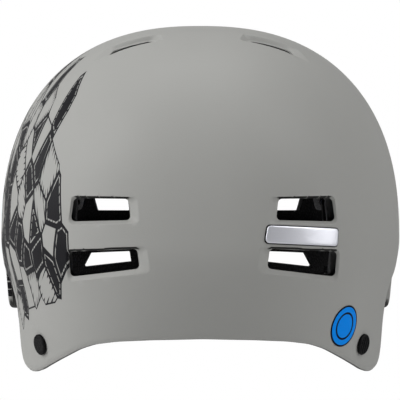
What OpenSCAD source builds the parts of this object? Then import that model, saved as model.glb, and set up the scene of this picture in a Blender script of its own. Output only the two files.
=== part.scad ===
// Hard-shell mountain bike helmet, held level as on a head.
// X is to the wearer's right, Y is forward, Z is up, in mm.
// The origin is where the crown of the head meets the crown pads.

/* [Shell] */
// Half of the outside width at the widest level
shell_half_width = 112; // [95:0.5:125]
// Reach of the shell in front of the origin
shell_front_reach = 138; // [120:1:155]
// Reach of the shell behind the origin
shell_rear_reach = 136; // [120:1:155]
// Height of the crown above the widest level
shell_rise = 119.5; // [100:0.5:135]
// Level at which the helmet is widest
widest_level = -81.5; // [-100:0.5:-60]
// Thickness of the moulded shell
shell_wall = 2.5; // [1.5:0.1:4]
// Roundness of a level cut, 2 is an ellipse
plan_power = 2.3; // [2:0.05:3]
// Roundness of the crown of the shell
crown_power = 2.4; // [2:0.05:3]
// How far the nape draws in at the reference drop
nape_tuck = 24; // [5:1:35]
// How far the rear corners draw in
corner_tuck = 8.2; // [0:0.1:15]
// Drop below the widest level over which the rear corners draw in
corner_depth = 25; // [15:1:40]

/* [Impact liner] */
// Half of the inside width of the foam liner
bowl_half_width = 84.5; // [75:0.5:92]
// Inside reach of the liner in front of the origin
bowl_front_reach = 107; // [95:1:115]
// Inside reach of the liner behind the origin
bowl_rear_reach = 105; // [95:1:115]
// Inside height of the liner above the widest level
bowl_rise = 89; // [80:0.5:95]
// Roundness of the inside of the crown
bowl_power = 2.3; // [2:0.05:3]
// Height of the liner's edge above the shell's edge
liner_edge_lift = 5.5; // [3:0.5:12]

/* [Pads and dampers] */
// Thickness of the comfort pads
pad_thickness = 6; // [3:0.5:12]
// Thickness of the hook fastener under each pad
hook_thickness = 1; // [0.5:0.1:2]
// Radius of a shear damper
damper_radius = 9; // [6:0.5:12]
// Height of a shear damper
damper_height = 5; // [3:0.5:8]

/* [Harness] */
// Width of the strap webbing
webbing_width = 15; // [12:0.5:20]
// Thickness of the strap webbing
webbing_thickness = 1.8; // [1.2:0.1:2.5]
// Distance of the strap bars inside the liner's widest place
bar_inset = 12.5; // [9:0.5:18]
// Level of the strap bars
hinge_z = -122; // [-128:0.5:-116]
// Front strap bar's place along the helmet
front_hinge_y = 44; // [36:1:56]
// Rear strap bar's place along the helmet
rear_hinge_y = -60; // [-66:1:-52]
// Radius of a strap bar
bar_radius = 1.5; // [1:0.1:2.5]
// Radius of the arc that the stowed chin webbing follows
arc_radius = 66; // [60:0.5:72]
// Length of each buckle half
buckle_length = 33; // [26:1:40]

/* [Rivets] */
// Radius of a rivet head
rivet_head_radius = 5.8; // [4:0.1:8]
// Thickness of a rivet head
rivet_head_height = 2.4; // [1.5:0.1:4]
// Radius of a rivet shank
rivet_shank_radius = 2.5; // [2:0.1:4]

/* [Hidden] */

eps = 0.01;
hinge_x = bowl_half_width - bar_inset;
round_fn = 48;

// A family of nested skins:
// half width, front reach, rear reach, rise, corner tuck, nape tuck, front tuck, power.
outer_skin = [shell_half_width, shell_front_reach, shell_rear_reach, shell_rise,
              corner_tuck, nape_tuck, 3, crown_power];
inner_skin = [bowl_half_width, bowl_front_reach, bowl_rear_reach, bowl_rise,
              3, 10, 2, bowl_power];
// Drop below the widest level at which the tucks hold
tuck_drop = 56.5;
// Height of the part below the widest level that one unit of the down value spans
skirt = 70;

// The shell's lower edge: degrees round from the middle of the nape, and level.
// It runs along the nape, down to the rear corner, up over the ear and down to the temple.
rim_profile = [
    [0, -132.3], [13, -133], [22, -134], [29, -135.8], [34, -138.5], [40, -143],
    [46, -147.2], [52, -151.2], [57, -153.1], [60, -152.6], [63.5, -150.4], [65.8, -147],
    [67.2, -140], [68, -126], [69.5, -113], [73, -104], [80, -97.5], [88, -95],
    [95, -97], [99.5, -102], [102.5, -110], [104.5, -117], [107.5, -121.4], [112, -122.6],
    [120, -121.6], [138, -117], [160, -113], [180, -112]
];
// Columns of the shell's grid, closer together where the edge is steep
half_columns = [0, 9, 18, 26, 33, 40, 46, 52, 57, 60, 63.5, 65.8, 67.2, 68, 69.5, 73, 80, 88,
                95, 99.5, 102.5, 104.5, 107.5, 112, 119, 128, 138, 148, 158, 169, 180];
columns = concat(half_columns,
                 [for (i = [len(half_columns) - 2 : -1 : 1]) 360 - half_columns[i]]);

// Vent outlines: corners as sideways and up, seen from behind, for the right side
rear_upper_vent = [[38.98, -59.42], [67.68, -59.03], [69.38, -71.28], [37.79, -70.46]];
rear_lower_vent = [[34.46, -85.32], [70.5, -87.12], [69.57, -100.45], [33.11, -95.62]];
front_upper_vent = [[43.04, -57.48], [63.0, -56.91], [65.1, -66.25], [41.9, -66.71]];
front_lower_vent = [[43.83, -92.21], [64.58, -93.07], [68.32, -100.74], [45.21, -97.83]];
// Crown slots: corners as sideways and forward, seen from above
rear_crown_vent = [[25.04, -67.66], [51.89, -67.56], [47.75, -57.06], [26.87, -57.22]];
front_crown_vent = [[25.08, 67.41], [49.95, 64.87], [46.16, 56.06], [26.87, 56.2]];
vent_corner = 2.4;

// Places of the strap anchors on the shell: degrees round from the nape, and level
rear_anchor = [50.18, -137.96];
front_anchor = [112.5, -109];

function fold(az) = let(a = ((az % 360) + 360) % 360) a > 180 ? 360 - a : a;
function rim_level(az) = lookup(fold(az), rim_profile);
function liner_rim_level(az) =
    max([for (d = [-3 : 1 : 3]) rim_level(az + d)]) + liner_edge_lift;
function smooth(t) = let(c = min(1, max(0, t))) c * c * (3 - 2 * c);
// The tuck of the rear corners is whole up to one bearing and gone by the next.
tuck_fade = [65, 110];
function rearward(az) = smooth((tuck_fade[1] - fold(az)) / (tuck_fade[1] - tuck_fade[0]));
function corner_share(z) = 1 - exp(-pow(max(0, widest_level - z) / corner_depth, 2));
// Below the widest level the skin bends smoothly into the tuck.
bend = 0.12;
function drop(z) = let(d = max(0, widest_level - z) / tuck_drop) sqrt(d * d + bend * bend) - bend;

function skin_half_width(skin, az, z) = skin[0] - skin[4] * rearward(az) * corner_share(z);
function skin_reach(skin, az, z) =
    fold(az) < 90 ? skin[2] - skin[5] * pow(drop(z), 1.4) : skin[1] - skin[6] * drop(z);

// down is 0 at the crown, 1 at the widest level and more below it
function level_of(skin, down, inset) =
    down <= 1 ? widest_level + (skin[3] - inset) * pow(cos(90 * down), 2 / skin[7])
              : widest_level - (down - 1) * skirt;
function draw_of(skin, down) = down <= 1 ? pow(sin(90 * down), 2 / skin[7]) : 1;
function down_of(skin, z) =
    z < widest_level ? 1 + (widest_level - z) / skirt
                     : acos(pow((z - widest_level) / skin[3], skin[7] / 2)) / 90;
function skin_point(skin, az, down, inset) =
    let(z = level_of(skin, down, inset),
        w = skin_half_width(skin, az, z) - inset,
        l = skin_reach(skin, az, z) - inset,
        q = pow(abs(sin(az)) / w, plan_power) + pow(abs(cos(az)) / l, plan_power),
        r = draw_of(skin, down) * pow(q, -1 / plan_power))
    [r * sin(az), -r * cos(az), z];
function unit(v) = v / norm(v);
function skin_normal(skin, az, down) =
    unit(cross(skin_point(skin, az + 0.5, down, 0) - skin_point(skin, az - 0.5, down, 0),
               skin_point(skin, az, down - 0.01, 0) - skin_point(skin, az, down + 0.01, 0)));

// Rows from the crown to the edge, as values of down
dome_rows = 13;
skirt_rows = 6;
function row_down(j, edge) =
    j <= dome_rows ? pow(j / dome_rows, 0.9)
                   : 1 + (j - dome_rows) / skirt_rows * (widest_level - edge) / skirt;

// A bowl between an outer and an inner skin, with its edge at the lifted rim
module bowl(out_skin, out_inset, in_skin, in_inset, lifted) {
    n = len(columns);
    rows = dome_rows + skirt_rows;
    function edge(az) = lifted ? liner_rim_level(az) : rim_level(az);
    function grid(skin, inset) = [
        for (j = [1 : rows]) for (az = columns)
            skin_point(skin, az, row_down(j, edge(az)), inset)];
    half = 1 + rows * n;
    points = concat([skin_point(out_skin, 0, 0, out_inset)], grid(out_skin, out_inset),
                    [skin_point(in_skin, 0, 0, in_inset)], grid(in_skin, in_inset));
    function o(j, i) = 1 + (j - 1) * n + (i % n);
    function p(j, i) = half + o(j, i);
    faces = concat(
        [for (i = [0 : n - 1]) [0, o(1, i + 1), o(1, i)]],
        [for (i = [0 : n - 1]) [half, p(1, i), p(1, i + 1)]],
        [for (j = [1 : rows - 1]) for (i = [0 : n - 1]) [o(j, i), o(j, i + 1), o(j + 1, i + 1)]],
        [for (j = [1 : rows - 1]) for (i = [0 : n - 1]) [o(j, i), o(j + 1, i + 1), o(j + 1, i)]],
        [for (j = [1 : rows - 1]) for (i = [0 : n - 1]) [p(j, i), p(j + 1, i + 1), p(j, i + 1)]],
        [for (j = [1 : rows - 1]) for (i = [0 : n - 1]) [p(j, i), p(j + 1, i), p(j + 1, i + 1)]],
        [for (i = [0 : n - 1]) [o(rows, i), o(rows, i + 1), p(rows, i + 1)]],
        [for (i = [0 : n - 1]) [o(rows, i), p(rows, i + 1), p(rows, i)]]);
    polyhedron(points = points, faces = faces, convexity = 6);
}

// A block that lies on a skin between two bearings and two levels
module skin_block(skin, az0, az1, down0, down1, inset0, inset1, na, nd) {
    function at(j, i, inset) = skin_point(skin, az0 + (az1 - az0) * i / na,
                                          down0 + (down1 - down0) * j / nd, inset);
    half = (na + 1) * (nd + 1);
    points = concat([for (j = [0 : nd]) for (i = [0 : na]) at(j, i, inset0)],
                    [for (j = [0 : nd]) for (i = [0 : na]) at(j, i, inset1)]);
    function o(j, i) = j * (na + 1) + i;
    function p(j, i) = half + o(j, i);
    faces = concat(
        [for (j = [0 : nd - 1]) for (i = [0 : na - 1]) [o(j, i), o(j, i + 1), o(j + 1, i + 1)]],
        [for (j = [0 : nd - 1]) for (i = [0 : na - 1]) [o(j, i), o(j + 1, i + 1), o(j + 1, i)]],
        [for (j = [0 : nd - 1]) for (i = [0 : na - 1]) [p(j, i), p(j + 1, i + 1), p(j, i + 1)]],
        [for (j = [0 : nd - 1]) for (i = [0 : na - 1]) [p(j, i), p(j + 1, i), p(j + 1, i + 1)]],
        [for (i = [0 : na - 1]) [o(0, i + 1), o(0, i), p(0, i)]],
        [for (i = [0 : na - 1]) [o(0, i + 1), p(0, i), p(0, i + 1)]],
        [for (i = [0 : na - 1]) [o(nd, i), o(nd, i + 1), p(nd, i + 1)]],
        [for (i = [0 : na - 1]) [o(nd, i), p(nd, i + 1), p(nd, i)]],
        [for (j = [0 : nd - 1]) [o(j, 0), o(j + 1, 0), p(j + 1, 0)]],
        [for (j = [0 : nd - 1]) [o(j, 0), p(j + 1, 0), p(j, 0)]],
        [for (j = [0 : nd - 1]) [o(j + 1, na), o(j, na), p(j, na)]],
        [for (j = [0 : nd - 1]) [o(j + 1, na), p(j, na), p(j + 1, na)]]);
    polyhedron(points = points, faces = faces, convexity = 2);
}

// A round patch that follows the shell
module skin_disc(az, z, radius, inset0, inset1, n) {
    base = skin_point(outer_skin, az, down_of(outer_skin, z), 0);
    r = norm([base[0], base[1]]);
    lean = acos(skin_normal(outer_skin, az, down_of(outer_skin, z)) * unit([base[0], base[1], 0]));
    function at(t, k, inset) = skin_point(outer_skin,
        az + k * radius * sin(t) * cos(lean) / r * 180 / PI,
        down_of(outer_skin, z + k * radius * cos(t)), inset);
    points = concat([at(0, 0, inset0)], [for (i = [0 : n - 1]) at(360 * i / n, 1, inset0)],
                    [at(0, 0, inset1)], [for (i = [0 : n - 1]) at(360 * i / n, 1, inset1)]);
    function o(i) = 1 + (i % n);
    function p(i) = n + 2 + (i % n);
    faces = concat([for (i = [0 : n - 1]) [0, o(i), o(i + 1)]],
                   [for (i = [0 : n - 1]) [n + 1, p(i + 1), p(i)]],
                   [for (i = [0 : n - 1]) [o(i), p(i), p(i + 1)]],
                   [for (i = [0 : n - 1]) [o(i), p(i + 1), o(i + 1)]]);
    polyhedron(points = points, faces = faces, convexity = 2);
}

// Children stand on the skin with their Z along its outward normal and their Y upward
module on_skin(skin, az, z, down = -1) {
    d = down < 0 ? down_of(skin, z) : down;
    p = skin_point(skin, az, d, 0);
    n = skin_normal(skin, az, d);
    s = unit(cross([0, 0, 1], n));
    u = cross(n, s);
    multmatrix([[s[0], u[0], n[0], p[0]], [s[1], u[1], n[1], p[1]],
                [s[2], u[2], n[2], p[2]], [0, 0, 0, 1]]) children();
}

module on_side(side) {
    if (side > 0) children();
    else mirror([1, 0, 0]) children();
}

// A prism along Y through the given corners
module level_tunnel(corners, y0, y1) {
    hull() for (c = corners)
        translate([c[0] + vent_corner * sign(mean_x(corners) - c[0]), y0,
                   c[1] + vent_corner * sign(mean_y(corners) - c[1])])
            rotate([-90, 0, 0]) cylinder(r = vent_corner, h = y1 - y0, $fn = 16);
}
function mean_x(list) = (list[0][0] + list[1][0] + list[2][0] + list[3][0]) / 4;
function mean_y(list) = (list[0][1] + list[1][1] + list[2][1] + list[3][1]) / 4;

// A prism along Z through the given corners
module upright_tunnel(corners, z0, z1) {
    hull() for (c = corners)
        translate([c[0] + vent_corner * sign(mean_x(corners) - c[0]),
                   c[1] + vent_corner * sign(mean_y(corners) - c[1]), z0])
            cylinder(r = vent_corner, h = z1 - z0, $fn = 16);
}

// How far the vent tunnels run: along Y at the back and front, and along Z at the crown
rear_run = [-150, -60];
front_run = [55, 150];
crown_run = [-30, 45];
module all_vents() {
    for (side = [-1, 1]) on_side(side) {
        for (vent = [rear_upper_vent, rear_lower_vent]) level_tunnel(vent, rear_run[0], rear_run[1]);
        for (vent = [front_upper_vent, front_lower_vent]) level_tunnel(vent, front_run[0], front_run[1]);
        for (vent = [rear_crown_vent, front_crown_vent]) upright_tunnel(vent, crown_run[0], crown_run[1]);
    }
}

module shank_holes() {
    for (side = [-1, 1]) for (a = [rear_anchor, front_anchor])
        on_side(side) on_skin(outer_skin, a[0], a[1])
            translate([0, 0, -10]) cylinder(r = rivet_shank_radius + 0.2, h = 20, $fn = 24);
}

module outer_shell() {
    color([0.6, 0.6, 0.58]) union() {
        difference() {
            bowl(outer_skin, 0, outer_skin, shell_wall, false);
            all_vents();
            shank_holes();
        }
    }
}

// Room round each anchor, open to the inside and downward
notch_reach = shell_half_width + 20 - hinge_x;
module anchor_notches() {
    for (side = [-1, 1]) on_side(side) {
        translate([hinge_x - 6, front_hinge_y - 15, -160]) cube([notch_reach, 31, 61]);
        translate([hinge_x - 8, rear_hinge_y - 13, -175]) rotate([0, 0, 8]) {
            cube([notch_reach, 29, 77]);
            // Room for the plate, behind the bar
            translate([4, -12, 0]) cube([notch_reach, 13, 60]);
        }
    }
}

// Each damper sits in a round pocket in the foam.
damper_places = [[61.4, 0.356], [-61.4, 0.356], [118.6, 0.356], [-118.6, 0.356],
                 [29.8, 0.683], [-29.8, 0.683], [150.2, 0.683], [-150.2, 0.683]];
pocket_depth = 2.5;
pocket_gap = 0.4;
module damper_pockets() {
    for (place = damper_places) on_skin(inner_skin, place[0], 0, place[1])
        translate([0, 0, -damper_height])
            cylinder(r = damper_radius + pocket_gap, h = damper_height + pocket_depth, $fn = round_fn);
}

// Clear space between the shell and the foam, so that their flat facets never cross
shell_clearance = 0.4;
module impact_liner() {
    color([0.1, 0.1, 0.1]) union() {
        difference() {
            bowl(outer_skin, shell_wall + shell_clearance, inner_skin, 0, true);
            all_vents();
            anchor_notches();
            damper_pockets();
        }
    }
}

// The plate between the right-hand rear vents: degrees round from the nape, and levels
badge_az = [12.1, 33];
badge_levels = [-73.9, -84];
badge_height = 1.1;
module badge_plate() {
    color([0.75, 0.76, 0.78])
        skin_block(outer_skin, badge_az[0], badge_az[1], down_of(outer_skin, badge_levels[0]),
                   down_of(outer_skin, badge_levels[1]), -badge_height, -0.1, 6, 2);
}

// The round label near the right-hand rear rivet
sticker_az = 39.5;
sticker_level = -127.3;
sticker_radius = 11.4;
module round_sticker() {
    color([0, 0.45, 0.85]) skin_disc(sticker_az, sticker_level, sticker_radius, -0.62, -0.22, 36);
}

// Pads: bearings from the nape, and top and bottom levels
hook_out = 0.7;
pad_out = hook_out + hook_thickness + 0.45;
pad_in = pad_out + pad_thickness;
module pad(az0, az1, z0, z1, na, nd) {
    color([0.16, 0.16, 0.17])
        skin_block(inner_skin, az0, az1, down_of(inner_skin, z0), down_of(inner_skin, z1),
                   pad_out, pad_in, na, nd);
}
module crown_pad(az) {
    color([0.16, 0.16, 0.17])
        skin_block(inner_skin, az - 20, az + 20, 0.2, 0.6, pad_out, pad_in, 6, 6);
}
brow_levels = [-71, -89];
nape_levels = [-103, -121];
front_side_levels = [-36, -68];
rear_side_levels = [-36, -84];
module brow_pad() pad(129, 231, brow_levels[0], brow_levels[1], 16, 3);
module nape_pad() pad(-38, 38, nape_levels[0], nape_levels[1], 12, 3);
module front_crown_pad() crown_pad(180);
module rear_crown_pad() crown_pad(0);
module left_front_pad() on_side(-1) right_front_pad();
module right_front_pad() pad(117, 130, front_side_levels[0], front_side_levels[1], 3, 4);
module left_rear_pad() on_side(-1) right_rear_pad();
module right_rear_pad() pad(50, 65, rear_side_levels[0], rear_side_levels[1], 3, 5);

// A small rectangle of hook fastener between the liner and a pad
module hook(az, down) {
    skin_block(inner_skin, az - 3, az + 3, down - 0.04, down + 0.04,
               hook_out, hook_out + hook_thickness, 1, 1);
}
module hook_patches() {
    color([0.05, 0.05, 0.05]) {
        for (az = [140, 180, 220]) hook(az, down_of(inner_skin, -80));
        for (az = [-26, 0, 26]) hook(az, down_of(inner_skin, -112));
        for (az = [0, 180]) for (d = [0.32, 0.5]) hook(az, d);
        for (az = [123.5, -123.5]) for (z = [-44, -60]) hook(az, down_of(inner_skin, z));
        for (az = [57.5, -57.5]) for (z = [-46, -74]) hook(az, down_of(inner_skin, z));
    }
}

// A short cup of soft rubber, open to the inside of the bowl
module damper(k) {
    place = damper_places[k - 1];
    color([0.05, 0.4, 0.8]) on_skin(inner_skin, place[0], 0, place[1])
        translate([0, 0, pocket_depth - pocket_gap - damper_height]) difference() {
            cylinder(r = damper_radius, h = damper_height, $fn = round_fn);
            translate([0, 0, -eps])
                cylinder(r = damper_radius - 2.5, h = damper_height - 1.6, $fn = round_fn);
        }
}

module rivet(side, a) {
    color([0.05, 0.05, 0.06]) on_side(side) on_skin(outer_skin, a[0], a[1]) {
        translate([0, 0, 0.12]) cylinder(r = rivet_head_radius, h = rivet_head_height, $fn = round_fn);
        translate([0, 0, -6.6]) cylinder(r = rivet_shank_radius, h = 7, $fn = round_fn);
    }
}

// A rod between two points, round or with flats
module rod(a, b, r, flats) {
    n = unit(b - a);
    s = unit(cross(abs(n[2]) > 0.9 ? [0, 1, 0] : [0, 0, 1], n));
    u = cross(n, s);
    multmatrix([[s[0], u[0], n[0], a[0]], [s[1], u[1], n[1], a[1]],
                [s[2], u[2], n[2], a[2]], [0, 0, 0, 1]])
        cylinder(r = r, h = norm(b - a), $fn = flats);
}

// Plate behind the shell with a hole for the shank, and a ring that carries the strap bar
plate_radius = 8.5;
plate_thickness = 2.6;
plate_depth = 6.4;
// Half the distance between the ends of a bar, at the back and at the front
rear_spread = 13.5;
front_spread = 10;
arm_foot = 6.2;
// Each end of the bar sits in a square block on its arm.
knuckle = [4.4, 3, 4.4];
arm_fn = 8;
module anchor(side, a, bar_y, arm_spread) {
    base = skin_point(outer_skin, a[0], down_of(outer_skin, a[1]), 0);
    n = skin_normal(outer_skin, a[0], down_of(outer_skin, a[1]));
    foot = base - (plate_depth - plate_thickness / 2 + 0.1) * n;
    color([0.12, 0.12, 0.13]) on_side(side) union() {
        difference() {
            on_skin(outer_skin, a[0], a[1]) translate([0, 0, -plate_depth])
                cylinder(r = plate_radius, h = plate_thickness, $fn = round_fn);
            on_skin(outer_skin, a[0], a[1]) translate([0, 0, -plate_depth - plate_thickness / 2])
                cylinder(r = rivet_shank_radius + 0.05, h = 2 * plate_thickness, $fn = round_fn);
        }
        // Each arm starts at the side of the plate that is nearer to its end of the bar.
        for (k = [-1, 1]) {
            end = [hinge_x, bar_y + k * arm_spread, hinge_z];
            rod(foot + arm_foot * k * unit([-n[1], n[0], 0]), end, bar_radius, arm_fn);
            translate(end) cube(knuckle, center = true);
        }
        rod([hinge_x, bar_y - arm_spread, hinge_z], [hinge_x, bar_y + arm_spread, hinge_z],
            bar_radius, round_fn);
    }
}

// The divider's middle, where the two legs meet
arc_inset = 6.5;
arc_centre = [bowl_half_width - arc_inset - arc_radius, -76];
arc_start = 8;
arc_end = 62;
function arc_point(angle, r) = [arc_centre[0] + r * cos(angle), arc_centre[1] + r * sin(angle)];
divider_at = arc_point(arc_start, arc_radius);
leg_top = [divider_at[0], divider_at[1] - 6.2];
loop_radius = bar_radius + 0.2 + webbing_thickness;
leg_gap = 0.35;

// A leg of webbing: a sewn loop round the bar, then a flat band up to the divider
module leg(side, bar_y, k) {
    top_y = k * (webbing_width / 2 + leg_gap);
    color([0.08, 0.08, 0.08]) on_side(side) union() {
        difference() {
            translate([hinge_x, bar_y - webbing_width / 2, hinge_z]) rotate([-90, 0, 0])
                cylinder(r = loop_radius, h = webbing_width, $fn = round_fn);
            translate([hinge_x, bar_y - webbing_width, hinge_z]) rotate([-90, 0, 0])
                cylinder(r = bar_radius + 0.2, h = 2 * webbing_width, $fn = round_fn);
        }
        hull() {
            translate([hinge_x + 0.4, bar_y - webbing_width / 2 + 0.2, hinge_z + loop_radius - 1])
                cube([webbing_thickness, webbing_width - 0.4, 1]);
            translate([leg_top[0] - webbing_thickness / 2, top_y - 5, leg_top[1] - 1])
                cube([webbing_thickness, 10, 1]);
        }
    }
}

divider_width = 41;
divider_height = 20;
divider_thickness = 7.4;
divider_shift = 0.7;
slot_thickness = webbing_thickness + 3;
lever_pin_radius = 1.1;
lever_thickness = 1.8;
lever_length = 13;
ear_radius = 2.3;
ear_thickness = 2.4;
lever_z = divider_height / 2 - 4;
lever_width = 16;
lever_out = divider_thickness / 2 + 1.9;
ear_at = lever_width / 2 + 1.6;

// A plate with round corners: Y wide, Z high, X thick, made of blocks and corner posts
module round_plate(wide, high, thick, r) {
    translate([-thick / 2, -wide / 2, -high / 2 + r]) cube([thick, wide, high - 2 * r]);
    translate([-thick / 2, -wide / 2 + r, -high / 2]) cube([thick, wide - 2 * r, high]);
    for (y = [-1, 1]) for (z = [-1, 1])
        translate([-thick / 2, y * (wide / 2 - r), z * (high / 2 - r)]) rotate([0, 90, 0])
            cylinder(r = r, h = thick, $fn = 32);
}

// Children stand at the divider, with Z along the strap
module at_divider(side) {
    on_side(side) translate([divider_at[0], 0, divider_at[1]]) rotate([0, -arc_start / 2, 0])
        translate([-divider_shift, 0, 0]) children();
}

module divider(side) {
    color([0.1, 0.1, 0.1]) at_divider(side) union() {
        difference() {
            round_plate(divider_width, divider_height, divider_thickness, 4);
            translate([-slot_thickness / 2, -divider_width / 2 + 3, -divider_height])
                cube([slot_thickness, divider_width - 6, 2 * divider_height]);
        }
        // Ears that hold the lever's pin on the inner face
        for (y = [-1, 1]) translate([-lever_out, y * ear_at - ear_thickness / 2, lever_z]) {
            rotate([-90, 0, 0]) cylinder(r = ear_radius, h = ear_thickness, $fn = 32);
            translate([0, 0, -ear_radius])
                cube([lever_out - divider_thickness / 2 + 0.5, ear_thickness, 2 * ear_radius]);
        }
        translate([-lever_out, -lever_width / 2 - 1, lever_z]) rotate([-90, 0, 0])
            cylinder(r = lever_pin_radius, h = lever_width + 2, $fn = 32);
    }
}

module divider_lever(side) {
    color([0.15, 0.15, 0.15]) at_divider(side) difference() {
        union() {
            translate([-lever_out, -lever_width / 2, lever_z]) rotate([-90, 0, 0])
                cylinder(r = lever_pin_radius + 0.7, h = lever_width, $fn = 32);
            translate([-lever_out - lever_pin_radius - 0.5, -lever_width / 2, lever_z - lever_length])
                cube([lever_thickness, lever_width, lever_length]);
        }
        translate([-lever_out, -lever_width, lever_z]) rotate([-90, 0, 0])
            cylinder(r = lever_pin_radius + 0.1, h = 2 * lever_width, $fn = 32);
    }
}

// A band bent round the arc's centre: from one angle to another, between two radii, across Y
module arc_band(from, to, r0, r1, wide) {
    translate([arc_centre[0], 0, arc_centre[1]]) rotate([90, 0, 0]) translate([0, 0, -wide / 2])
        rotate([0, 0, from]) rotate_extrude(angle = to - from, $fn = 180)
            translate([r0, 0]) square([r1 - r0, wide]);
}

module chin_webbing(side) {
    color([0.08, 0.08, 0.08]) on_side(side)
        arc_band(arc_start, arc_end, arc_radius - webbing_thickness / 2,
                 arc_radius + webbing_thickness / 2, webbing_width);
}

buckle_width = 23;
buckle_thickness = 8;
magnet_radius = 4;
magnet_height = 3;
// Children stand at the buckle: Z is along the strap, X is across its thickness
module at_buckle(side) {
    end = arc_point(arc_end, arc_radius);
    on_side(side) translate([end[0], 0, end[1]]) rotate([0, -arc_end, 0]) children();
}

module buckle_half(side) {
    color([0.09, 0.09, 0.1]) at_buckle(side) difference() {
        union() {
            translate([0, 0, buckle_length / 2 + 1]) round_plate(buckle_width, buckle_length - 2,
                                                                buckle_thickness, 5);
            // The left half carries the tongue and the right half the hood over it.
            if (side < 0) translate([-buckle_thickness / 2 + 0.5, -5, buckle_length - 4])
                cube([3, 10, 3.8]);
        }
        // Pocket for the end of the webbing
        translate([-(webbing_thickness + 0.6) / 2, -(webbing_width + 0.6) / 2, -1])
            cube([webbing_thickness + 0.6, webbing_width + 0.6, 6]);
        // Bar window for the doubled-back webbing
        translate([-buckle_thickness, -(webbing_width + 0.6) / 2, 8])
            cube([2 * buckle_thickness, webbing_width + 0.6, 3]);
        // Pockets for the two magnets, closed on the outer face
        for (y = [-1, 1]) translate([-buckle_thickness / 2 - 1, y * 5.2, 21]) rotate([0, 90, 0])
            cylinder(r = magnet_radius + 0.05, h = magnet_height + 2, $fn = 32);
        if (side > 0) translate([-buckle_thickness, -5.6, buckle_length - 4.6])
            cube([buckle_thickness, 11.2, 8]);
    }
}

module magnets(side) {
    color([0.7, 0.7, 0.72]) at_buckle(side)
        for (y = [-1, 1]) translate([-buckle_thickness / 2 + 0.3, y * 5.2, 21]) rotate([0, 90, 0])
            cylinder(r = magnet_radius, h = magnet_height - 0.3, $fn = 32);
}

// Soft sleeve on the left webbing and rubber keeper on the right webbing
chin_pad_angles = [26, 50];
keeper_angles = [44, 49];
sleeve_clearance = 0.35;
module sleeve(side, angles, wall, shade) {
    color(shade) on_side(side) difference() {
        arc_band(angles[0], angles[1], arc_radius - webbing_thickness / 2 - sleeve_clearance - wall,
                 arc_radius + webbing_thickness / 2 + sleeve_clearance + wall,
                 webbing_width + 2 * sleeve_clearance + 2 * wall);
        arc_band(angles[0] - 2, angles[1] + 2, arc_radius - webbing_thickness / 2 - sleeve_clearance,
                 arc_radius + webbing_thickness / 2 + sleeve_clearance,
                 webbing_width + 2 * sleeve_clearance);
    }
}
module chin_pad() sleeve(-1, chin_pad_angles, 2.2, [0.15, 0.15, 0.16]);
module strap_keeper() sleeve(1, keeper_angles, 1.3, [0.07, 0.07, 0.07]);

outer_shell();
impact_liner();
badge_plate();
round_sticker();
brow_pad();
nape_pad();
front_crown_pad();
rear_crown_pad();
left_front_pad();
right_front_pad();
left_rear_pad();
right_rear_pad();
hook_patches();
for (k = [1 : 8]) damper(k);
rivet(-1, front_anchor);  // left_front_rivet
rivet(1, front_anchor);  // right_front_rivet
rivet(-1, rear_anchor);  // left_rear_rivet
rivet(1, rear_anchor);  // right_rear_rivet
anchor(-1, front_anchor, front_hinge_y, front_spread);  // left_front_anchor
anchor(1, front_anchor, front_hinge_y, front_spread);  // right_front_anchor
anchor(-1, rear_anchor, rear_hinge_y, rear_spread);  // left_rear_anchor
anchor(1, rear_anchor, rear_hinge_y, rear_spread);  // right_rear_anchor
leg(-1, front_hinge_y, 1);  // left_front_leg
leg(1, front_hinge_y, 1);  // right_front_leg
leg(-1, rear_hinge_y, -1);  // left_rear_leg
leg(1, rear_hinge_y, -1);  // right_rear_leg
divider(-1);  // left_divider
divider(1);  // right_divider
divider_lever(-1);  // left_divider_lever
divider_lever(1);  // right_divider_lever
chin_webbing(-1);  // left_chin_webbing
chin_webbing(1);  // right_chin_webbing
buckle_half(-1);  // left_buckle_half
buckle_half(1);  // right_buckle_half
magnets(-1);  // left_magnets
magnets(1);  // right_magnets
chin_pad();
strap_keeper();
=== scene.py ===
import math

import bmesh
import bpy
import numpy as np
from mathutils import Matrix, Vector


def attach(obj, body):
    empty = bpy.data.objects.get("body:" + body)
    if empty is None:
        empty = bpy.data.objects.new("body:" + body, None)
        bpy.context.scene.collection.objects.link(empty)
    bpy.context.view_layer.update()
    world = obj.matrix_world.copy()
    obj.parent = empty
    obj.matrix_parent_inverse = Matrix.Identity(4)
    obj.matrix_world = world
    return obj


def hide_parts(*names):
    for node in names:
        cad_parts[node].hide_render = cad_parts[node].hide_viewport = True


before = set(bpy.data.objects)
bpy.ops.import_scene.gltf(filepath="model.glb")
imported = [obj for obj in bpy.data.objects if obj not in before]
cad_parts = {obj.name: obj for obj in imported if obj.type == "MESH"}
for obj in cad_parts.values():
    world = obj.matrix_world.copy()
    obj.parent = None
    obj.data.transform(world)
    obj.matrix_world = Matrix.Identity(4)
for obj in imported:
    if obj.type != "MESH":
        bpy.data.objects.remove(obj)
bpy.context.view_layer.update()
mm = 0.001


def newObject(name, data):
    obj = bpy.data.objects.new(name, data)
    bpy.context.collection.objects.link(obj)
    return obj


# Camera: level, straight behind, a touch to the left of the middle line.
camera = dict(azimuth=-0.8, distance=1.5, height=-0.060, shown=0.2271, sensor=36)
camData = bpy.data.cameras.new("camera")
camData.sensor_width = camera["sensor"]
camData.lens = camera["sensor"] * camera["distance"] / camera["shown"]
camObject = newObject("camera", camData)
swing = math.radians(camera["azimuth"])
camObject.location = (camera["distance"] * math.sin(swing), -camera["distance"] * math.cos(swing),
                      camera["height"])
camObject.rotation_euler = (math.radians(90), 0, swing)
bpy.context.scene.camera = camObject
print("camera placed")

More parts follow.
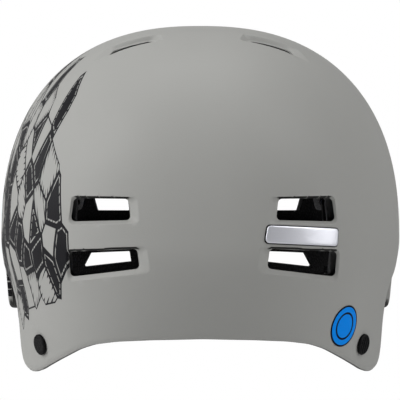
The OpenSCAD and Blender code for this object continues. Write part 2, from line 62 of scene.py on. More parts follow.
# Skins: nested round bowls. All lengths are in millimetres.
outerSkin = dict(halfWidth=112, front=138, rear=136, rise=119.5, cornerTuck=8.2, napeTuck=24,
                 frontTuck=3, power=2.4)
innerSkin = dict(halfWidth=84.5, front=107, rear=105, rise=89, cornerTuck=3, napeTuck=10,
                 frontTuck=2, power=2.3)
widestLevel = -81.5
planPower = 2.3
# Below the widest level the plan draws in, at the nape, at the front and at the corners, which end
# at a bearing. The skirt is the depth below that level for each whole step down a skin.
tuckDrop = 56.5
bend = 0.12
napePower = 1.4
cornerForm = dict(end=110, over=45, depth=25)
skirt = 70


def smooth(t):
    # Three t squared less two t cubed, held between 0 and 1.
    c = np.clip(t, 0, 1)
    return c * c * (3 - 2 * c)


def rotated(p, angle):
    # Points turned in their first two coordinates.
    c, s = math.cos(angle), math.sin(angle)
    return np.stack([p[:, 0] * c - p[:, 1] * s, p[:, 0] * s + p[:, 1] * c], 1)


def turns(count, offset=0):
    # Equal angles round a circle, in radians.
    return 2 * np.pi * (np.arange(count) + offset) / count


def fold(az):
    # A bearing's distance from the middle of the nape, 0 to 180 degrees.
    a = np.mod(az, 360)
    return np.where(a > 180, 360 - a, a)


def halfSizes(skin, az, z):
    # Half width and reach of a level cut, which draw in below the widest level.
    below = np.maximum(0, widestLevel - z)
    drop = np.sqrt((below / tuckDrop) ** 2 + bend * bend) - bend
    corner = smooth((cornerForm["end"] - fold(az)) / cornerForm["over"])
    corner *= 1 - np.exp(-(below / cornerForm["depth"]) ** 2)
    width = skin["halfWidth"] - skin["cornerTuck"] * corner
    reach = np.where(fold(az) < 90, skin["rear"] - skin["napeTuck"] * drop ** napePower,
                     skin["front"] - skin["frontTuck"] * drop)
    return width, reach


def skinPoint(skin, az, down, inset=0.0):
    # A super-ellipse in plan times a super-ellipse in height; straight-sided below the widest level.
    az = np.asarray(az, float)
    down = np.asarray(down, float)
    dome = np.minimum(down, 1)
    z = widestLevel + (skin["rise"] - inset) * np.cos(np.pi / 2 * dome).clip(0) ** (2 / skin["power"])
    z = np.where(down > 1, widestLevel - (down - 1) * skirt, z)
    width, reach = halfSizes(skin, az, z)
    s, c = np.sin(np.radians(az)), np.cos(np.radians(az))
    q = (abs(s) / (width - inset)) ** planPower + (abs(c) / (reach - inset)) ** planPower
    r = np.sin(np.pi / 2 * dome) ** (2 / skin["power"]) * q ** (-1 / planPower)
    return np.stack([r * s, -r * c, z + 0 * r], -1)


def downOf(skin, z):
    # How far down a skin a level lies: 0 at the crown, 1 at the widest level, more below it.
    t = np.clip((z - widestLevel) / skin["rise"], 0, 1)
    dome = np.degrees(np.arccos(t ** (skin["power"] / 2))) / 90
    return np.where(z < widestLevel, 1 + (widestLevel - z) / skirt, dome)


def bearing(p):
    # Degrees round from the middle of the nape, positive to the right.
    return np.degrees(np.arctan2(p[:, 0], -p[:, 1]))


def skinValue(skin, p):
    # 1 on the skin, less inside it: the plan's and the height's super-ellipses put together.
    width, reach = halfSizes(skin, bearing(p), p[:, 2])
    q = ((abs(p[:, 0]) / width) ** planPower + (abs(p[:, 1]) / reach) ** planPower) ** (1 / planPower)
    t = np.maximum(0, p[:, 2] - widestLevel) / skin["rise"]
    return (q ** skin["power"] + t ** skin["power"]) ** (1 / skin["power"])


def ontoSkin(skin, p):
    # Moves points near a skin onto it, outwards from the middle of the widest level.
    f = skinValue(skin, p)
    out = p.copy()
    above = p[:, 2] > widestLevel
    out[:, :2] /= f[:, None]
    out[above, 2] = widestLevel + (p[above, 2] - widestLevel) / f[above]
    return out


def skinGauge(skin, p):
    # Outward normal and height above the skin, from the slope of skinValue by small steps.
    step = 0.05
    grad = np.stack([skinValue(skin, p + s) - skinValue(skin, p - s) for s in np.eye(3) * step], 1)
    grad /= 2 * step
    size = np.linalg.norm(grad, axis=1)
    return grad / size[:, None], (skinValue(skin, p) - 1) / size


# The shell's lower edge: degrees round from the middle of the nape, and level.
rimProfile = np.array([
    [0, -132.3], [13, -133], [22, -134], [29, -135.8], [34, -138.5], [40, -143],
    [46, -147.2], [52, -151.2], [57, -153.1], [60, -152.6], [63.5, -150.4], [65.8, -147],
    [67.2, -140], [68, -126], [69.5, -113], [73, -104], [80, -97.5], [88, -95],
    [95, -97], [99.5, -102], [102.5, -110], [104.5, -117], [107.5, -121.4], [112, -122.6],
    [120, -121.6], [138, -117], [160, -113], [180, -112]])
rimForm = dict(scale=1.92, blur=1.6, span=40, step=0.25)  # scale: millimetres for a degree


def runOf(path):
    # Length along a path up to each of its points.
    return np.concatenate([[0], np.cumsum(np.linalg.norm(np.diff(path, axis=0), axis=1))])


def spaced(path, shares):
    # Points of a path at shares of its length.
    run = runOf(path)
    return np.stack([np.interp(shares * run[-1], run, c) for c in path.T], 1)


def rimCurve(profile, count):
    # The edge as a closed curve, rounded by a moving average and cut into equal lengths.
    az = np.concatenate([profile[:, 0], 360 - profile[-2:0:-1, 0]])
    z = np.concatenate([profile[:, 1], profile[-2:0:-1, 1]])
    az = np.concatenate([az - 360, az, az + 360, az + 720])
    path = np.stack([az * rimForm["scale"], np.tile(z, 4)], 1)
    run = runOf(path)
    fine = np.arange(0, run[-1], rimForm["step"])
    offsets = np.arange(-rimForm["span"], rimForm["span"] + 1) * rimForm["step"]
    kernel = np.exp(-0.5 * (offsets / rimForm["blur"]) ** 2)
    kernel /= kernel.sum()
    path = np.stack([np.convolve(np.interp(fine, run, c), kernel, "same") for c in path.T], 1)
    path = path[(path[:, 0] >= 0) & (path[:, 0] <= 360 * rimForm["scale"])]
    path = spaced(path, np.arange(count) / count)
    return path[:, 0] / rimForm["scale"], path[:, 1]


def gridQuads(ids):
    # Quads between neighbours on a square grid.
    return np.stack([ids[:-1, :-1], ids[1:, :-1], ids[1:, 1:], ids[:-1, 1:]], -1).reshape(-1, 4)


def ringQuads(loops):
    # Quads between rings of equal count, each closed on itself.
    loops = np.array(loops)
    nxt = np.roll(loops, -1, 1)
    return np.stack([loops[:-1], loops[1:], nxt[1:], nxt[:-1]], -1).reshape(-1, 4)


def domeGrid(skin, form, rimAz, rimZ, inset=0.0, closer=1.0):
    # A square grid wrapped over the crown, then straight columns down to the rim.
    rings, rows, spacing = form["rings"], form["rows"], form["spacing"] * closer
    n = 8 * rings
    steps = np.linspace(0, 1, 600)
    arc = runOf(skinPoint(skin, np.full(len(steps), 45.0), steps))
    a, b = np.meshgrid(np.arange(-rings, rings + 1), np.arange(-rings, rings + 1), indexing="ij")
    m = np.maximum(abs(a), abs(b))
    safe = np.maximum(m, 1)
    az = np.select([(b == -m), (a == m), (b == m)],
                   [45 * a / safe, 90 + 45 * b / safe, 180 - 45 * a / safe], 270 - 45 * b / safe)
    down = np.interp(m * spacing, arc, steps)
    side = 2 * rings + 1
    topIds = np.arange(side * side).reshape(side, side)
    edge = m == rings
    ring = topIds[edge][np.argsort(np.mod(az[edge], 360))]
    uniform = 360 * np.arange(n) / n
    shift = np.mod(rimAz - uniform + 180, 360) - 180
    start, total = rings * spacing, arc[-1]
    length = total - start + (widestLevel - rimZ)
    t = (np.arange(1, rows + 1) / rows)[:, None]
    s = start + length * t
    colDown = np.where(s < total, np.interp(np.minimum(s, total), arc, steps), 1 + (s - total) / skirt)
    colAz = uniform + shift * smooth(t)
    az = np.concatenate([az.ravel(), colAz.ravel()])
    down = np.concatenate([down.ravel(), colDown.ravel()])
    rowIds = np.vstack([ring, side * side + np.arange(rows * n).reshape(rows, n)])
    faces = np.concatenate([gridQuads(topIds), ringQuads(rowIds)])
    return skinPoint(skin, az, down, inset), faces, rowIds[-1]


def makeObject(name, points, faces, scale=mm, shadeSmooth=True):
    mesh = bpy.data.meshes.new(name)
    mesh.from_pydata((np.asarray(points) * scale).tolist(), [], [list(map(int, f)) for f in faces])
    mesh.update()
    if shadeSmooth:
        mesh.shade_smooth()
    return newObject(name, mesh)


def writeMesh(obj, points):
    obj.data.vertices.foreach_set("co", (points * mm).astype(np.float32).ravel())
    obj.data.update()


def readPoints(obj):
    out = np.empty(len(obj.data.vertices) * 3, np.float32)
    obj.data.vertices.foreach_get("co", out)
    return out.reshape(-1, 3).astype(float) / mm


def readNumbers(items, key, each=1):
    # One or more whole numbers of every item of a mesh.
    out = np.empty(len(items) * each, int)
    items.foreach_get(key, out)
    return out


def outwards(obj):
    # Merges doubles and turns every face's normal outwards.
    bm = bmesh.new()
    bm.from_mesh(obj.data)
    bmesh.ops.remove_doubles(bm, verts=bm.verts, dist=1e-6)
    bmesh.ops.recalc_face_normals(bm, faces=bm.faces)
    bm.to_mesh(obj.data)
    bm.free()


def setFlat(obj, flat):
    # Stores a flat place for every vertex as the piece's UV map.
    layer = obj.data.uv_layers.new(name="UVMap")
    index = readNumbers(obj.data.loops, "vertex_index")
    layer.data.foreach_set("uv", flat[index].astype(np.float32).ravel())


def makePiece(name, points, faces, flat=None):
    piece = makeObject(name, points, faces)
    outwards(piece)
    if flat is not None:
        setFlat(piece, flat)
    return piece


def applyModifiers(obj):
    # Puts the evaluated mesh in the piece's own place and drops its modifiers.
    graph = bpy.context.evaluated_depsgraph_get()
    done = bpy.data.meshes.new_from_object(obj.evaluated_get(graph))
    obj.modifiers.clear()
    old, obj.data = obj.data, done
    bpy.data.meshes.remove(old)


def modify(obj, kind, **settings):
    mod = obj.modifiers.new(kind.lower(), kind)
    for key, value in settings.items():
        setattr(mod, key, value)
    applyModifiers(obj)


def capped(low, high):
    # Two equal outlines in space, joined by a wall and closed by a face each.
    n = len(low)
    i = np.arange(n)
    j = (i + 1) % n
    wall = np.stack([i, j, j + n, i + n], 1).tolist()
    return np.vstack([low, high]), wall + [i[::-1].tolist(), (i + n).tolist()]


def closedRings(rows, n):
    # Faces of rows of n points each and, from the last row, a fan to the point that follows it.
    last = n * (rows - 1)
    fan = [[last + i, last + n, last + (i + 1) % n] for i in range(n)]
    return ringQuads(np.arange(rows * n).reshape(rows, n)).tolist() + fan


def joinParts(parts):
    # Several meshes as one, each with its faces counted on from those before it.
    points, faces, base = [], [], 0
    for p, f in parts:
        points.append(p)
        faces += [[k + base for k in face] for face in f]
        base += len(p)
    return np.vstack(points), faces


def roundQuad(corners, radius, steps=6):
    # A four-cornered outline with round corners, anticlockwise.
    c = np.array(corners, float)
    before, after = np.roll(c, 1, 0) - c, np.roll(c, -1, 0) - c
    before /= np.linalg.norm(before, axis=1)[:, None]
    after /= np.linalg.norm(after, axis=1)[:, None]
    half = np.arccos((before * after).sum(1)) / 2
    toMiddle = (before + after) / np.linalg.norm(before + after, axis=1)[:, None]
    centre = c + toMiddle * (radius / np.sin(half))[:, None]
    t = np.linspace(0, 1, steps + 1)[None, :, None]
    spoke = [c + leg * (radius / np.tan(half))[:, None] - centre for leg in (before, after)]
    mix = spoke[0][:, None] * (1 - t) + spoke[1][:, None] * t
    mix *= radius / np.linalg.norm(mix, axis=2)[:, :, None]
    out = (centre[:, None] + mix).reshape(-1, 2)
    area = (out[:, 0] * np.roll(out[:, 1], -1) - np.roll(out[:, 0], -1) * out[:, 1]).sum()
    return out if area > 0 else out[::-1]


def outlineFoot(p, outline):
    # Nearest point of a closed outline, and the distance to it, less than 0 inside.
    best = np.full(len(p), 1e9)
    foot = p.copy()
    inside = np.zeros(len(p), bool)
    for a, b in zip(outline, np.roll(outline, -1, 0)):
        e, w = b - a, p - a
        t = np.clip((w @ e) / (e @ e), 0, 1)
        off = np.linalg.norm(w - t[:, None] * e, axis=1)
        foot[off < best] = (a + t[:, None] * e)[off < best]
        best = np.minimum(best, off)
        if abs(e[1]) > 1e-9:
            crosses = (a[1] > p[:, 1]) != (b[1] > p[:, 1])
            inside ^= crosses & (p[:, 0] < a[0] + (p[:, 1] - a[1]) * e[0] / e[1])
    return foot, np.where(inside, -best, best)


# Vents of the right side, in millimetres; the left side is its mirror. Behind and in front the
# corners are sideways and up, on the crown they are sideways and forward. Each has its opening
# and, round it, the edge of the sunk scoop that leads into it.
vents = dict(
    rear=[
        ([[38.98, -59.42], [67.68, -59.03], [69.38, -71.28], [37.79, -70.46]],
         [[34.4, -58.4], [69.0, -57.7], [70.9, -73.1], [33.2, -72.1]]),
        ([[34.46, -85.32], [70.5, -87.12], [69.57, -100.45], [33.11, -95.62]],
         [[29.4, -84.3], [72.1, -85.9], [71.2, -103.2], [27.6, -97.6]])],
    front=[
        ([[42.4, -57.3], [63.2, -56.9], [60.7, -66.2], [41.4, -66.3]],
         [[38.2, -56.1], [64.6, -55.6], [62.4, -68.0], [37.0, -68.2]]),
        ([[41.2, -90.9], [64.4, -91.5], [69.0, -100.5], [40.2, -97.6]],
         [[36.8, -89.5], [65.4, -90.2], [70.8, -102.5], [36.0, -99.3]])],
    rearCrown=[
        ([[25.04, -67.66], [51.89, -67.56], [47.75, -57.06], [26.87, -57.22]],
         [[20.5, -69], [60, -68.6], [52.5, -55.4], [22.6, -55.4]])],
    frontCrown=[
        ([[25.08, 67.41], [49.95, 64.87], [46.16, 56.06], [26.87, 56.2]],
         [[20.5, 69], [57.5, 66.6], [50, 54.4], [22.6, 54.4]])])
ventForm = dict(cornerRadius=dict(rear=2.2, front=0.7, rearCrown=2.4, frontCrown=2.4), scoopRadius=2.6,
                depth=2.5, upright=("rear", "front"), crownLevel=-30, endsFrom=60, refined=(-1.6, 1.2),
                crownFade=dict(most=1.25, slope=0.02, start=25, held=(0.35, 1.2)), snap=0.3, snapShare=0.42,
                cutFrom=dict(rear=-150, front=55, rearCrown=-30, frontCrown=-30),
                cutTo=dict(rear=-60, front=150, rearCrown=45, frontCrown=45))
ventOutlines = {zone: [(roundQuad(opening, ventForm["cornerRadius"][zone]),
                        roundQuad(scoop, ventForm["scoopRadius"])) for opening, scoop in pairs]
                for zone, pairs in vents.items()}


def ventsOver(p):
    # Every vent with its zone, the points laid flat as its outlines are, and which lie in the zone.
    for zone, pairs in ventOutlines.items():
        upright = zone in ventForm["upright"]
        flat = np.stack([abs(p[:, 0]), p[:, 2 if upright else 1]], 1)
        on = (p[:, 1] < 0) == zone.startswith("rear")
        if upright:
            on &= (abs(p[:, 1]) > ventForm["endsFrom"]) & (p[:, 2] < ventForm["crownLevel"])
        else:
            on &= p[:, 2] > ventForm["crownLevel"]
        for opening, scoop in pairs:
            yield upright, flat, on, opening, scoop


def scoopDepth(p):
    # Depth grows from nothing at the scoop's edge to the full depth at the opening. The crown
    # scoops run out towards the sides.
    depth = np.zeros(len(p))
    crown = ventForm["crownFade"]
    crownFade = np.clip(crown["most"] - crown["slope"] * (abs(p[:, 0]) - crown["start"]), *crown["held"])
    for upright, flat, on, opening, scoop in ventsOver(p):
        fade = 1.0 if upright else crownFade
        toScoop = np.zeros(len(p))
        toOpening = np.ones(len(p))
        toScoop[on] = np.maximum(0, -outlineFoot(flat[on], scoop)[1])
        toOpening[on] = np.maximum(0, outlineFoot(flat[on], opening)[1])
        share = toScoop / np.maximum(toScoop + toOpening, 1e-6)
        depth = np.maximum(depth, np.where(on, share, 0) * ventForm["depth"] * fade)
    return depth


def snapToScoops(p, edges):
    # Points next to a scoop's edge move onto it, so that the crease runs along mesh edges. None
    # moves as far as half its shortest edge.
    out = p.copy()
    for upright, flat, on, _, scoop in ventsOver(p):
        foot, off = outlineFoot(flat, scoop)
        hit = on & (abs(off) < ventForm["snap"])
        out[hit, 0] = foot[hit, 0] * np.sign(p[hit, 0])
        out[hit, 2 if upright else 1] = foot[hit, 1]
    out = ontoSkin(outerSkin, out)
    length = np.linalg.norm(p[edges[:, 0]] - p[edges[:, 1]], axis=1)
    shortest = np.full(len(p), np.inf)
    for ends in edges.T:
        np.minimum.at(shortest, ends, length)
    near = np.linalg.norm(out - p, axis=1) < ventForm["snapShare"] * shortest
    return np.where(near[:, None], out, p)


def nearScoop(p):
    # Points on the slope between a scoop's edge and its opening, and just past both.
    near = np.zeros(len(p), bool)
    inner, outer = ventForm["refined"]
    for _, flat, on, opening, scoop in ventsOver(p):
        near[on] |= (outlineFoot(flat[on], opening)[1] > inner) & (outlineFoot(flat[on], scoop)[1] < outer)
    return near


def makeCutter(name, parts):
    cutter = makeObject(name, *joinParts(parts), shadeSmooth=False)
    outwards(cutter)
    return cutter


def ventCutters():
    # Every opening carried straight through shell and liner, along Y or Z, on both sides.
    parts = []
    for side in (1, -1):
        for zone, pairs in ventOutlines.items():
            across = 1 if zone in ventForm["upright"] else 2
            for opening, _ in pairs:
                flat = (opening * [side, 1])[::side]
                parts.append(capped(*[np.insert(flat, across, ventForm[end][zone], axis=1)
                                      for end in ("cutFrom", "cutTo")]))
    return makeCutter("ventCutter", parts)


def cut(obj, cutter):
    # Takes the cutter's room out of a piece.
    before = len(obj.data.polygons)
    modify(obj, "BOOLEAN", operation="DIFFERENCE", solver="MANIFOLD", object=cutter)
    print("cut", obj.name, before, "->", len(obj.data.polygons), "faces")


def rimRing(skin, az, z, inset, lower):
    # The edge of a bowl, moved in by inset and down by lower.
    ring = skinPoint(skin, az, downOf(skin, z), inset)
    ring[:, 2] -= lower
    return ring


def makeBowl(name, outer, inner, lips):
    # Outer and inner skin, each with points, faces and rim, joined round the rim by two lip rings.
    points, faces, rim = outer
    n, base, start = len(rim), len(points), len(points) + len(inner[0])
    loops = [rim, start + np.arange(n), start + n + np.arange(n), inner[2] + base]
    faces = list(faces) + list(inner[1][:, ::-1] + base) + list(ringQuads(loops))
    return makePiece(name, np.vstack([points, inner[0], *lips]), faces)


def creased(obj, angle):
    # Smooth, but for edges that turn by more than the angle.
    obj.data.shade_smooth()
    obj.data.set_sharp_from_angle(angle=math.radians(angle))
    print(obj.name, "made,", len(obj.data.polygons), "faces")


# Shell: outer skin with scoops, inner skin, and a rounded edge between them.
shellForm = dict(rings=44, rows=62, spacing=2.15, wall=2.5, lip=0.5, sharpAngle=38)
rimAz, rimZ = rimCurve(rimProfile, 8 * shellForm["rings"])
points, quads, rimIds = domeGrid(outerSkin, shellForm, rimAz, rimZ)
sheet = makeObject("sheet", points, quads)
bm = bmesh.new()
bm.from_mesh(sheet.data)
bm.verts.ensure_lookup_table()
marks = bm.verts.layers.int.new("rim")
for k, i in enumerate(rimIds):
    bm.verts[int(i)][marks] = k + 1
for _ in range(2):
    centres = np.array([f.calc_center_median() for f in bm.faces]) / mm
    chosen = nearScoop(centres)
    bm.faces.ensure_lookup_table()
    edges = {e for i in np.nonzero(chosen)[0] for e in bm.faces[int(i)].edges}
    bmesh.ops.subdivide_edges(bm, edges=list(edges), cuts=1, use_grid_fill=True)
bm.to_mesh(sheet.data)
bm.free()
fine = sheet.data
edgeEnds = readNumbers(fine.edges, "vertices", 2).reshape(-1, 2)
corners, starts = readNumbers(fine.loops, "vertex_index"), readNumbers(fine.polygons, "loop_start")
numbers = readNumbers(fine.attributes["rim"].data, "value")
points = snapToScoops(ontoSkin(outerSkin, readPoints(sheet)), edgeEnds)
points = points - skinGauge(outerSkin, points)[0] * scoopDepth(points)[:, None]
held = np.nonzero(numbers)[0]
outer = points, np.split(corners, starts[1:]), held[np.argsort(numbers[held])]
bpy.data.objects.remove(sheet)
inner = domeGrid(outerSkin, shellForm, rimAz, rimZ, shellForm["wall"])
lip = shellForm["lip"]
lips = [rimRing(outerSkin, rimAz, rimZ, inset, lip) for inset in (lip, shellForm["wall"] - lip)]
shell = makeBowl("shell_paint_shell", outer, inner, lips)
ventCutter = ventCutters()
cut(shell, ventCutter)
creased(shell, shellForm["sharpAngle"])

# Liner: one foam bowl with the tunnels of the vents and room for the strap anchors.
linerForm = dict(rings=26, rows=36, spacing=2.9, closer=0.75, inset=2.9, edgeLift=5.5, edgeRound=1.2,
                 sharpAngle=35)
anchorRoom = [([66, 29, -160], [126, 60, -99], 0), ([64, -73, -175], [124, -44, -98], 8)]
plateRoom = [([69.63, -84.33, -175], [129.63, -71.33, -115], 8)]
damperPocket = dict(radius=9.4, low=-8, high=2.5, count=48, az=(61.4, 118.6, 29.8, 150.2),
                    down=(0.356, 0.356, 0.683, 0.683))


def linerProfile():
    # The shell's edge, at its highest within three degrees, and lifted.
    az = np.arange(0, 181, 1.0)
    span = np.arange(-3, 4)
    levels = np.interp(fold(az[:, None] + span), rimProfile[:, 0], rimProfile[:, 1]).max(1)
    return np.stack([az, levels + linerForm["edgeLift"]], 1)


def boxPart(low, high, turn):
    # A box given by two corners, turned in degrees round Z about its low corner.
    corner = np.array([[x, y, z] for z in (0, 1) for y in (0, 1) for x in (0, 1)], float)
    p = corner * (np.array(high, float) - low)
    p = np.column_stack([rotated(p, math.radians(turn)), p[:, 2]]) + low
    return p, [[0, 2, 3, 1], [4, 5, 7, 6], [0, 1, 5, 4], [2, 6, 7, 3], [0, 4, 6, 2], [1, 3, 7, 5]]


def boxesBothSides(boxes):
    boxes = [boxPart(*box) for box in boxes]
    return boxes + [(p * [-1, 1, 1], [face[::-1] for face in f]) for p, f in boxes]


def skinFrame(skin, az, down):
    # Place, sideways, upward and outward directions at a point of a skin.
    here = skinPoint(skin, az, down)
    n = skinGauge(skin, here[None])[0][0]
    side = np.cross([0, 0, 1], n)
    side /= np.linalg.norm(side)
    return here, side, np.cross(n, side), n


def pocketPart(az, down):
    # A round post that stands on the inner skin, along its outward normal.
    here, side, up, n = skinFrame(innerSkin, az, down)
    t = turns(damperPocket["count"])
    ring = here + damperPocket["radius"] * (np.cos(t)[:, None] * side + np.sin(t)[:, None] * up)
    return capped(*[ring + damperPocket[end] * n for end in ("low", "high")])


linerAz, linerZ = rimCurve(linerProfile(), 8 * linerForm["rings"])
edge = linerForm["edgeRound"]
lips = [rimRing(outerSkin, linerAz, linerZ, linerForm["inset"] + edge, edge),
        rimRing(innerSkin, linerAz, linerZ, -edge, edge)]
liner = makeBowl("liner_foam_bowl", domeGrid(outerSkin, linerForm, linerAz, linerZ, linerForm["inset"]),
                 domeGrid(innerSkin, linerForm, linerAz, linerZ, closer=linerForm["closer"]), lips)
pockets = [pocketPart(s * az, down) for az, down in zip(damperPocket["az"], damperPocket["down"])
           for s in (1, -1)]
cutters = [ventCutter, makeCutter("notchCutter", boxesBothSides(anchorRoom) + pockets),
           makeCutter("plateCutter", boxesBothSides(plateRoom))]
for tool in cutters:
    cut(liner, tool)
    bpy.data.objects.remove(tool)
creased(liner, linerForm["sharpAngle"])


# Node groups and materials.
def makeGroup(name, build, **inputs):
    # A group with a vector input and some numbers; build adds its nodes and gives its outputs.
    group = bpy.data.node_groups.new(name, "ShaderNodeTree")
    group.interface.new_socket(name="Vector", in_out="INPUT", socket_type="NodeSocketVector")
    for label, value in inputs.items():
        socket = group.interface.new_socket(name=label, in_out="INPUT", socket_type="NodeSocketFloat")
        socket.default_value = value
    results = build(group, group.nodes.new("NodeGroupInput").outputs)
    for label in results:
        group.interface.new_socket(name=label, in_out="OUTPUT", socket_type="NodeSocketFloat")
    ends = group.nodes.new("NodeGroupOutput").inputs
    for label, value in results.items():
        group.links.new(value, ends[label])
    return group


def emptyTree(owner):
    # The cleared node tree of a material or of the world.
    owner.use_nodes = True
    owner.node_tree.nodes.clear()
    return owner.node_tree


def add(tree, kind, links=None, **settings):
    # A node with its settings; links gives each input a value or another node's output.
    node = tree.nodes.new("ShaderNode" + kind)
    for key, value in settings.items():
        setattr(node, key, value)
    for key, value in (links or {}).items():
        if isinstance(value, bpy.types.NodeSocket):
            tree.links.new(value, node.inputs[key])
        else:
            node.inputs[key].default_value = value
    return node


def calc(tree, operation, a, b=0.0, c=0.0, clamp=False):
    return add(tree, "Math", {0: a, 1: b, 2: c}, operation=operation, use_clamp=clamp).outputs[0]


def times(tree, a, b):
    return calc(tree, "MULTIPLY", a, b)


def scaled(tree, value, factor, extra):
    return calc(tree, "MULTIPLY_ADD", value, factor, extra)


def ramp(tree, value, low, high, out0=0.0, out1=1.0):
    # A smooth step from out0 to out1 as the value goes from low to high.
    return add(tree, "MapRange", {"Value": value, "From Min": low, "From Max": high, "To Min": out0,
                                  "To Max": out1}, interpolation_type="SMOOTHSTEP").outputs["Result"]


def mixColor(tree, share, a, b, blend="MIX"):
    return add(tree, "Mix", {0: share, 6: a, 7: b}, data_type="RGBA", blend_type=blend).outputs[2]


def vectorMath(tree, operation, a, b=(0, 0, 0)):
    # The vector and the number that the sum gives.
    return add(tree, "VectorMath", {0: a, 1: b}, operation=operation).outputs


def noise(tree, vector, scale, detail=3.0, rough=0.5):
    return add(tree, "TexNoise", {"Vector": vector, "Scale": scale, "Detail": detail,
                                  "Roughness": rough}).outputs["Fac"]


def grey(tree, tone):
    return add(tree, "CombineColor", {0: tone, 1: tone, 2: tone}).outputs[0]


def srgb(r, g, b):
    # A colour written as in an image file, made linear.
    out = []
    for v in (r / 255, g / 255, b / 255):
        out.append(v / 12.92 if v <= 0.04045 else ((v + 0.055) / 1.055) ** 2.4)
    return (*out, 1.0)


def grainNodes(group, gin):
    # Fine height and a slow change of tone, both from noise on the object's own place.
    fine = noise(group, gin["Vector"], gin["FineScale"], 2.0)
    slow = noise(group, gin["Vector"], gin["SlowScale"], 4.0)
    tone = scaled(group, calc(group, "SUBTRACT", slow, 0.5), gin["Tone"], 1.0)
    return dict(Height=fine, Tone=tone, Slow=slow)


def wearNodes(group, gin):
    # Edges from the difference between the surface's own and a rounded-over normal.
    bevel = add(group, "Bevel", {"Radius": gin["Width"]}, samples=6).outputs["Normal"]
    own = add(group, "NewGeometry").outputs["Normal"]
    edge = ramp(group, vectorMath(group, "DOT_PRODUCT", bevel, own)["Value"], 0.995, 0.90)
    broken = ramp(group, noise(group, gin["Vector"], 180.0, 4.0), 0.38, 0.62)
    share = scaled(group, broken, gin["Broken"], calc(group, "SUBTRACT", 1.0, gin["Broken"]))
    return dict(Mask=times(group, edge, share))


def dustNodes(group, gin):
    # Settled dust: patches on faces that look up, thicker where the noise is high.
    own = add(group, "NewGeometry").outputs["Normal"]
    facing = ramp(group, add(group, "SeparateXYZ", {0: own}).outputs["Z"], -0.2, 0.9)
    patch = ramp(group, noise(group, gin["Vector"], 45.0, 6.0, 0.6), 0.42, 0.72)
    return dict(Mask=times(group, times(group, facing, patch), gin["Amount"]))


grainGroup = makeGroup("grain", grainNodes, FineScale=900.0, SlowScale=14.0, Tone=0.05)
wearGroup = makeGroup("edgeWear", wearNodes, Width=0.0008, Broken=0.5)
dustGroup = makeGroup("dust", dustNodes, Amount=0.3)


def newMaterial(name, fine, slow, tone, **sockets):
    # A material with its constants set, the object's place and a grain of the given scales.
    mat = bpy.data.materials.new(name)
    tree = emptyTree(mat)
    shader = add(tree, "BsdfPrincipled")
    add(tree, "OutputMaterial", {0: shader.outputs[0]})
    for key, value in sockets.items():
        shader.inputs[key.replace("_", " ")].default_value = value
    where = add(tree, "TexCoord").outputs["Object"]
    grain = add(tree, "Group", {"Vector": where, "FineScale": fine, "SlowScale": slow, "Tone": tone},
                node_tree=grainGroup).outputs
    return mat, tree, where, grain


def finish(mat, color, rough, height, distance, strength=1.0):
    # Links what changes over the surface: its colour, its roughness and its relief.
    tree = mat.node_tree
    relief = add(tree, "Bump", {"Height": height, "Distance": distance, "Strength": strength}).outputs[0]
    for value, key in ((color, "Base Color"), (rough, "Roughness"), (relief, "Normal")):
        tree.links.new(value, tree.nodes["Principled BSDF"].inputs[key])
    return mat


def toned(tree, color, grain):
    # A colour times the grain's tone.
    return mixColor(tree, 1.0, color, grey(tree, grain["Tone"]), "MULTIPLY")


def wearOf(tree, where, width, broken):
    return add(tree, "Group", {"Vector": where, "Width": width, "Broken": broken},
               node_tree=wearGroup).outputs["Mask"]


def flatPlace(tree):
    return add(tree, "UVMap", uv_map="UVMap").outputs[0]


# The dark raw colour is the bare plastic of the inner wall and, on faces that look down, painted shade.
paintLook = dict(color=srgb(164, 164, 161), rough=0.5, ink=srgb(10, 9, 15), rawAndShade=srgb(46, 46, 45),
                 rubbed=srgb(196, 196, 192))
shardLook = dict(cell=0.0096, turn=0.62, squash=0.46, line=0.00040, filled=0.43, hatched=0.86,
                 hatchStep=0.0017, reach=0.115, near=-0.055, spread=0.26, middle=-0.085,
                 far=-0.29, top=0.012, bottom=-0.128, thinOver=0.03, thinShare=0.9,
                 outline=(0.8, 1.25), lightFrom=(2.1, 2.5), lightTo=(3.1, 3.5), hatchFade=4.5)


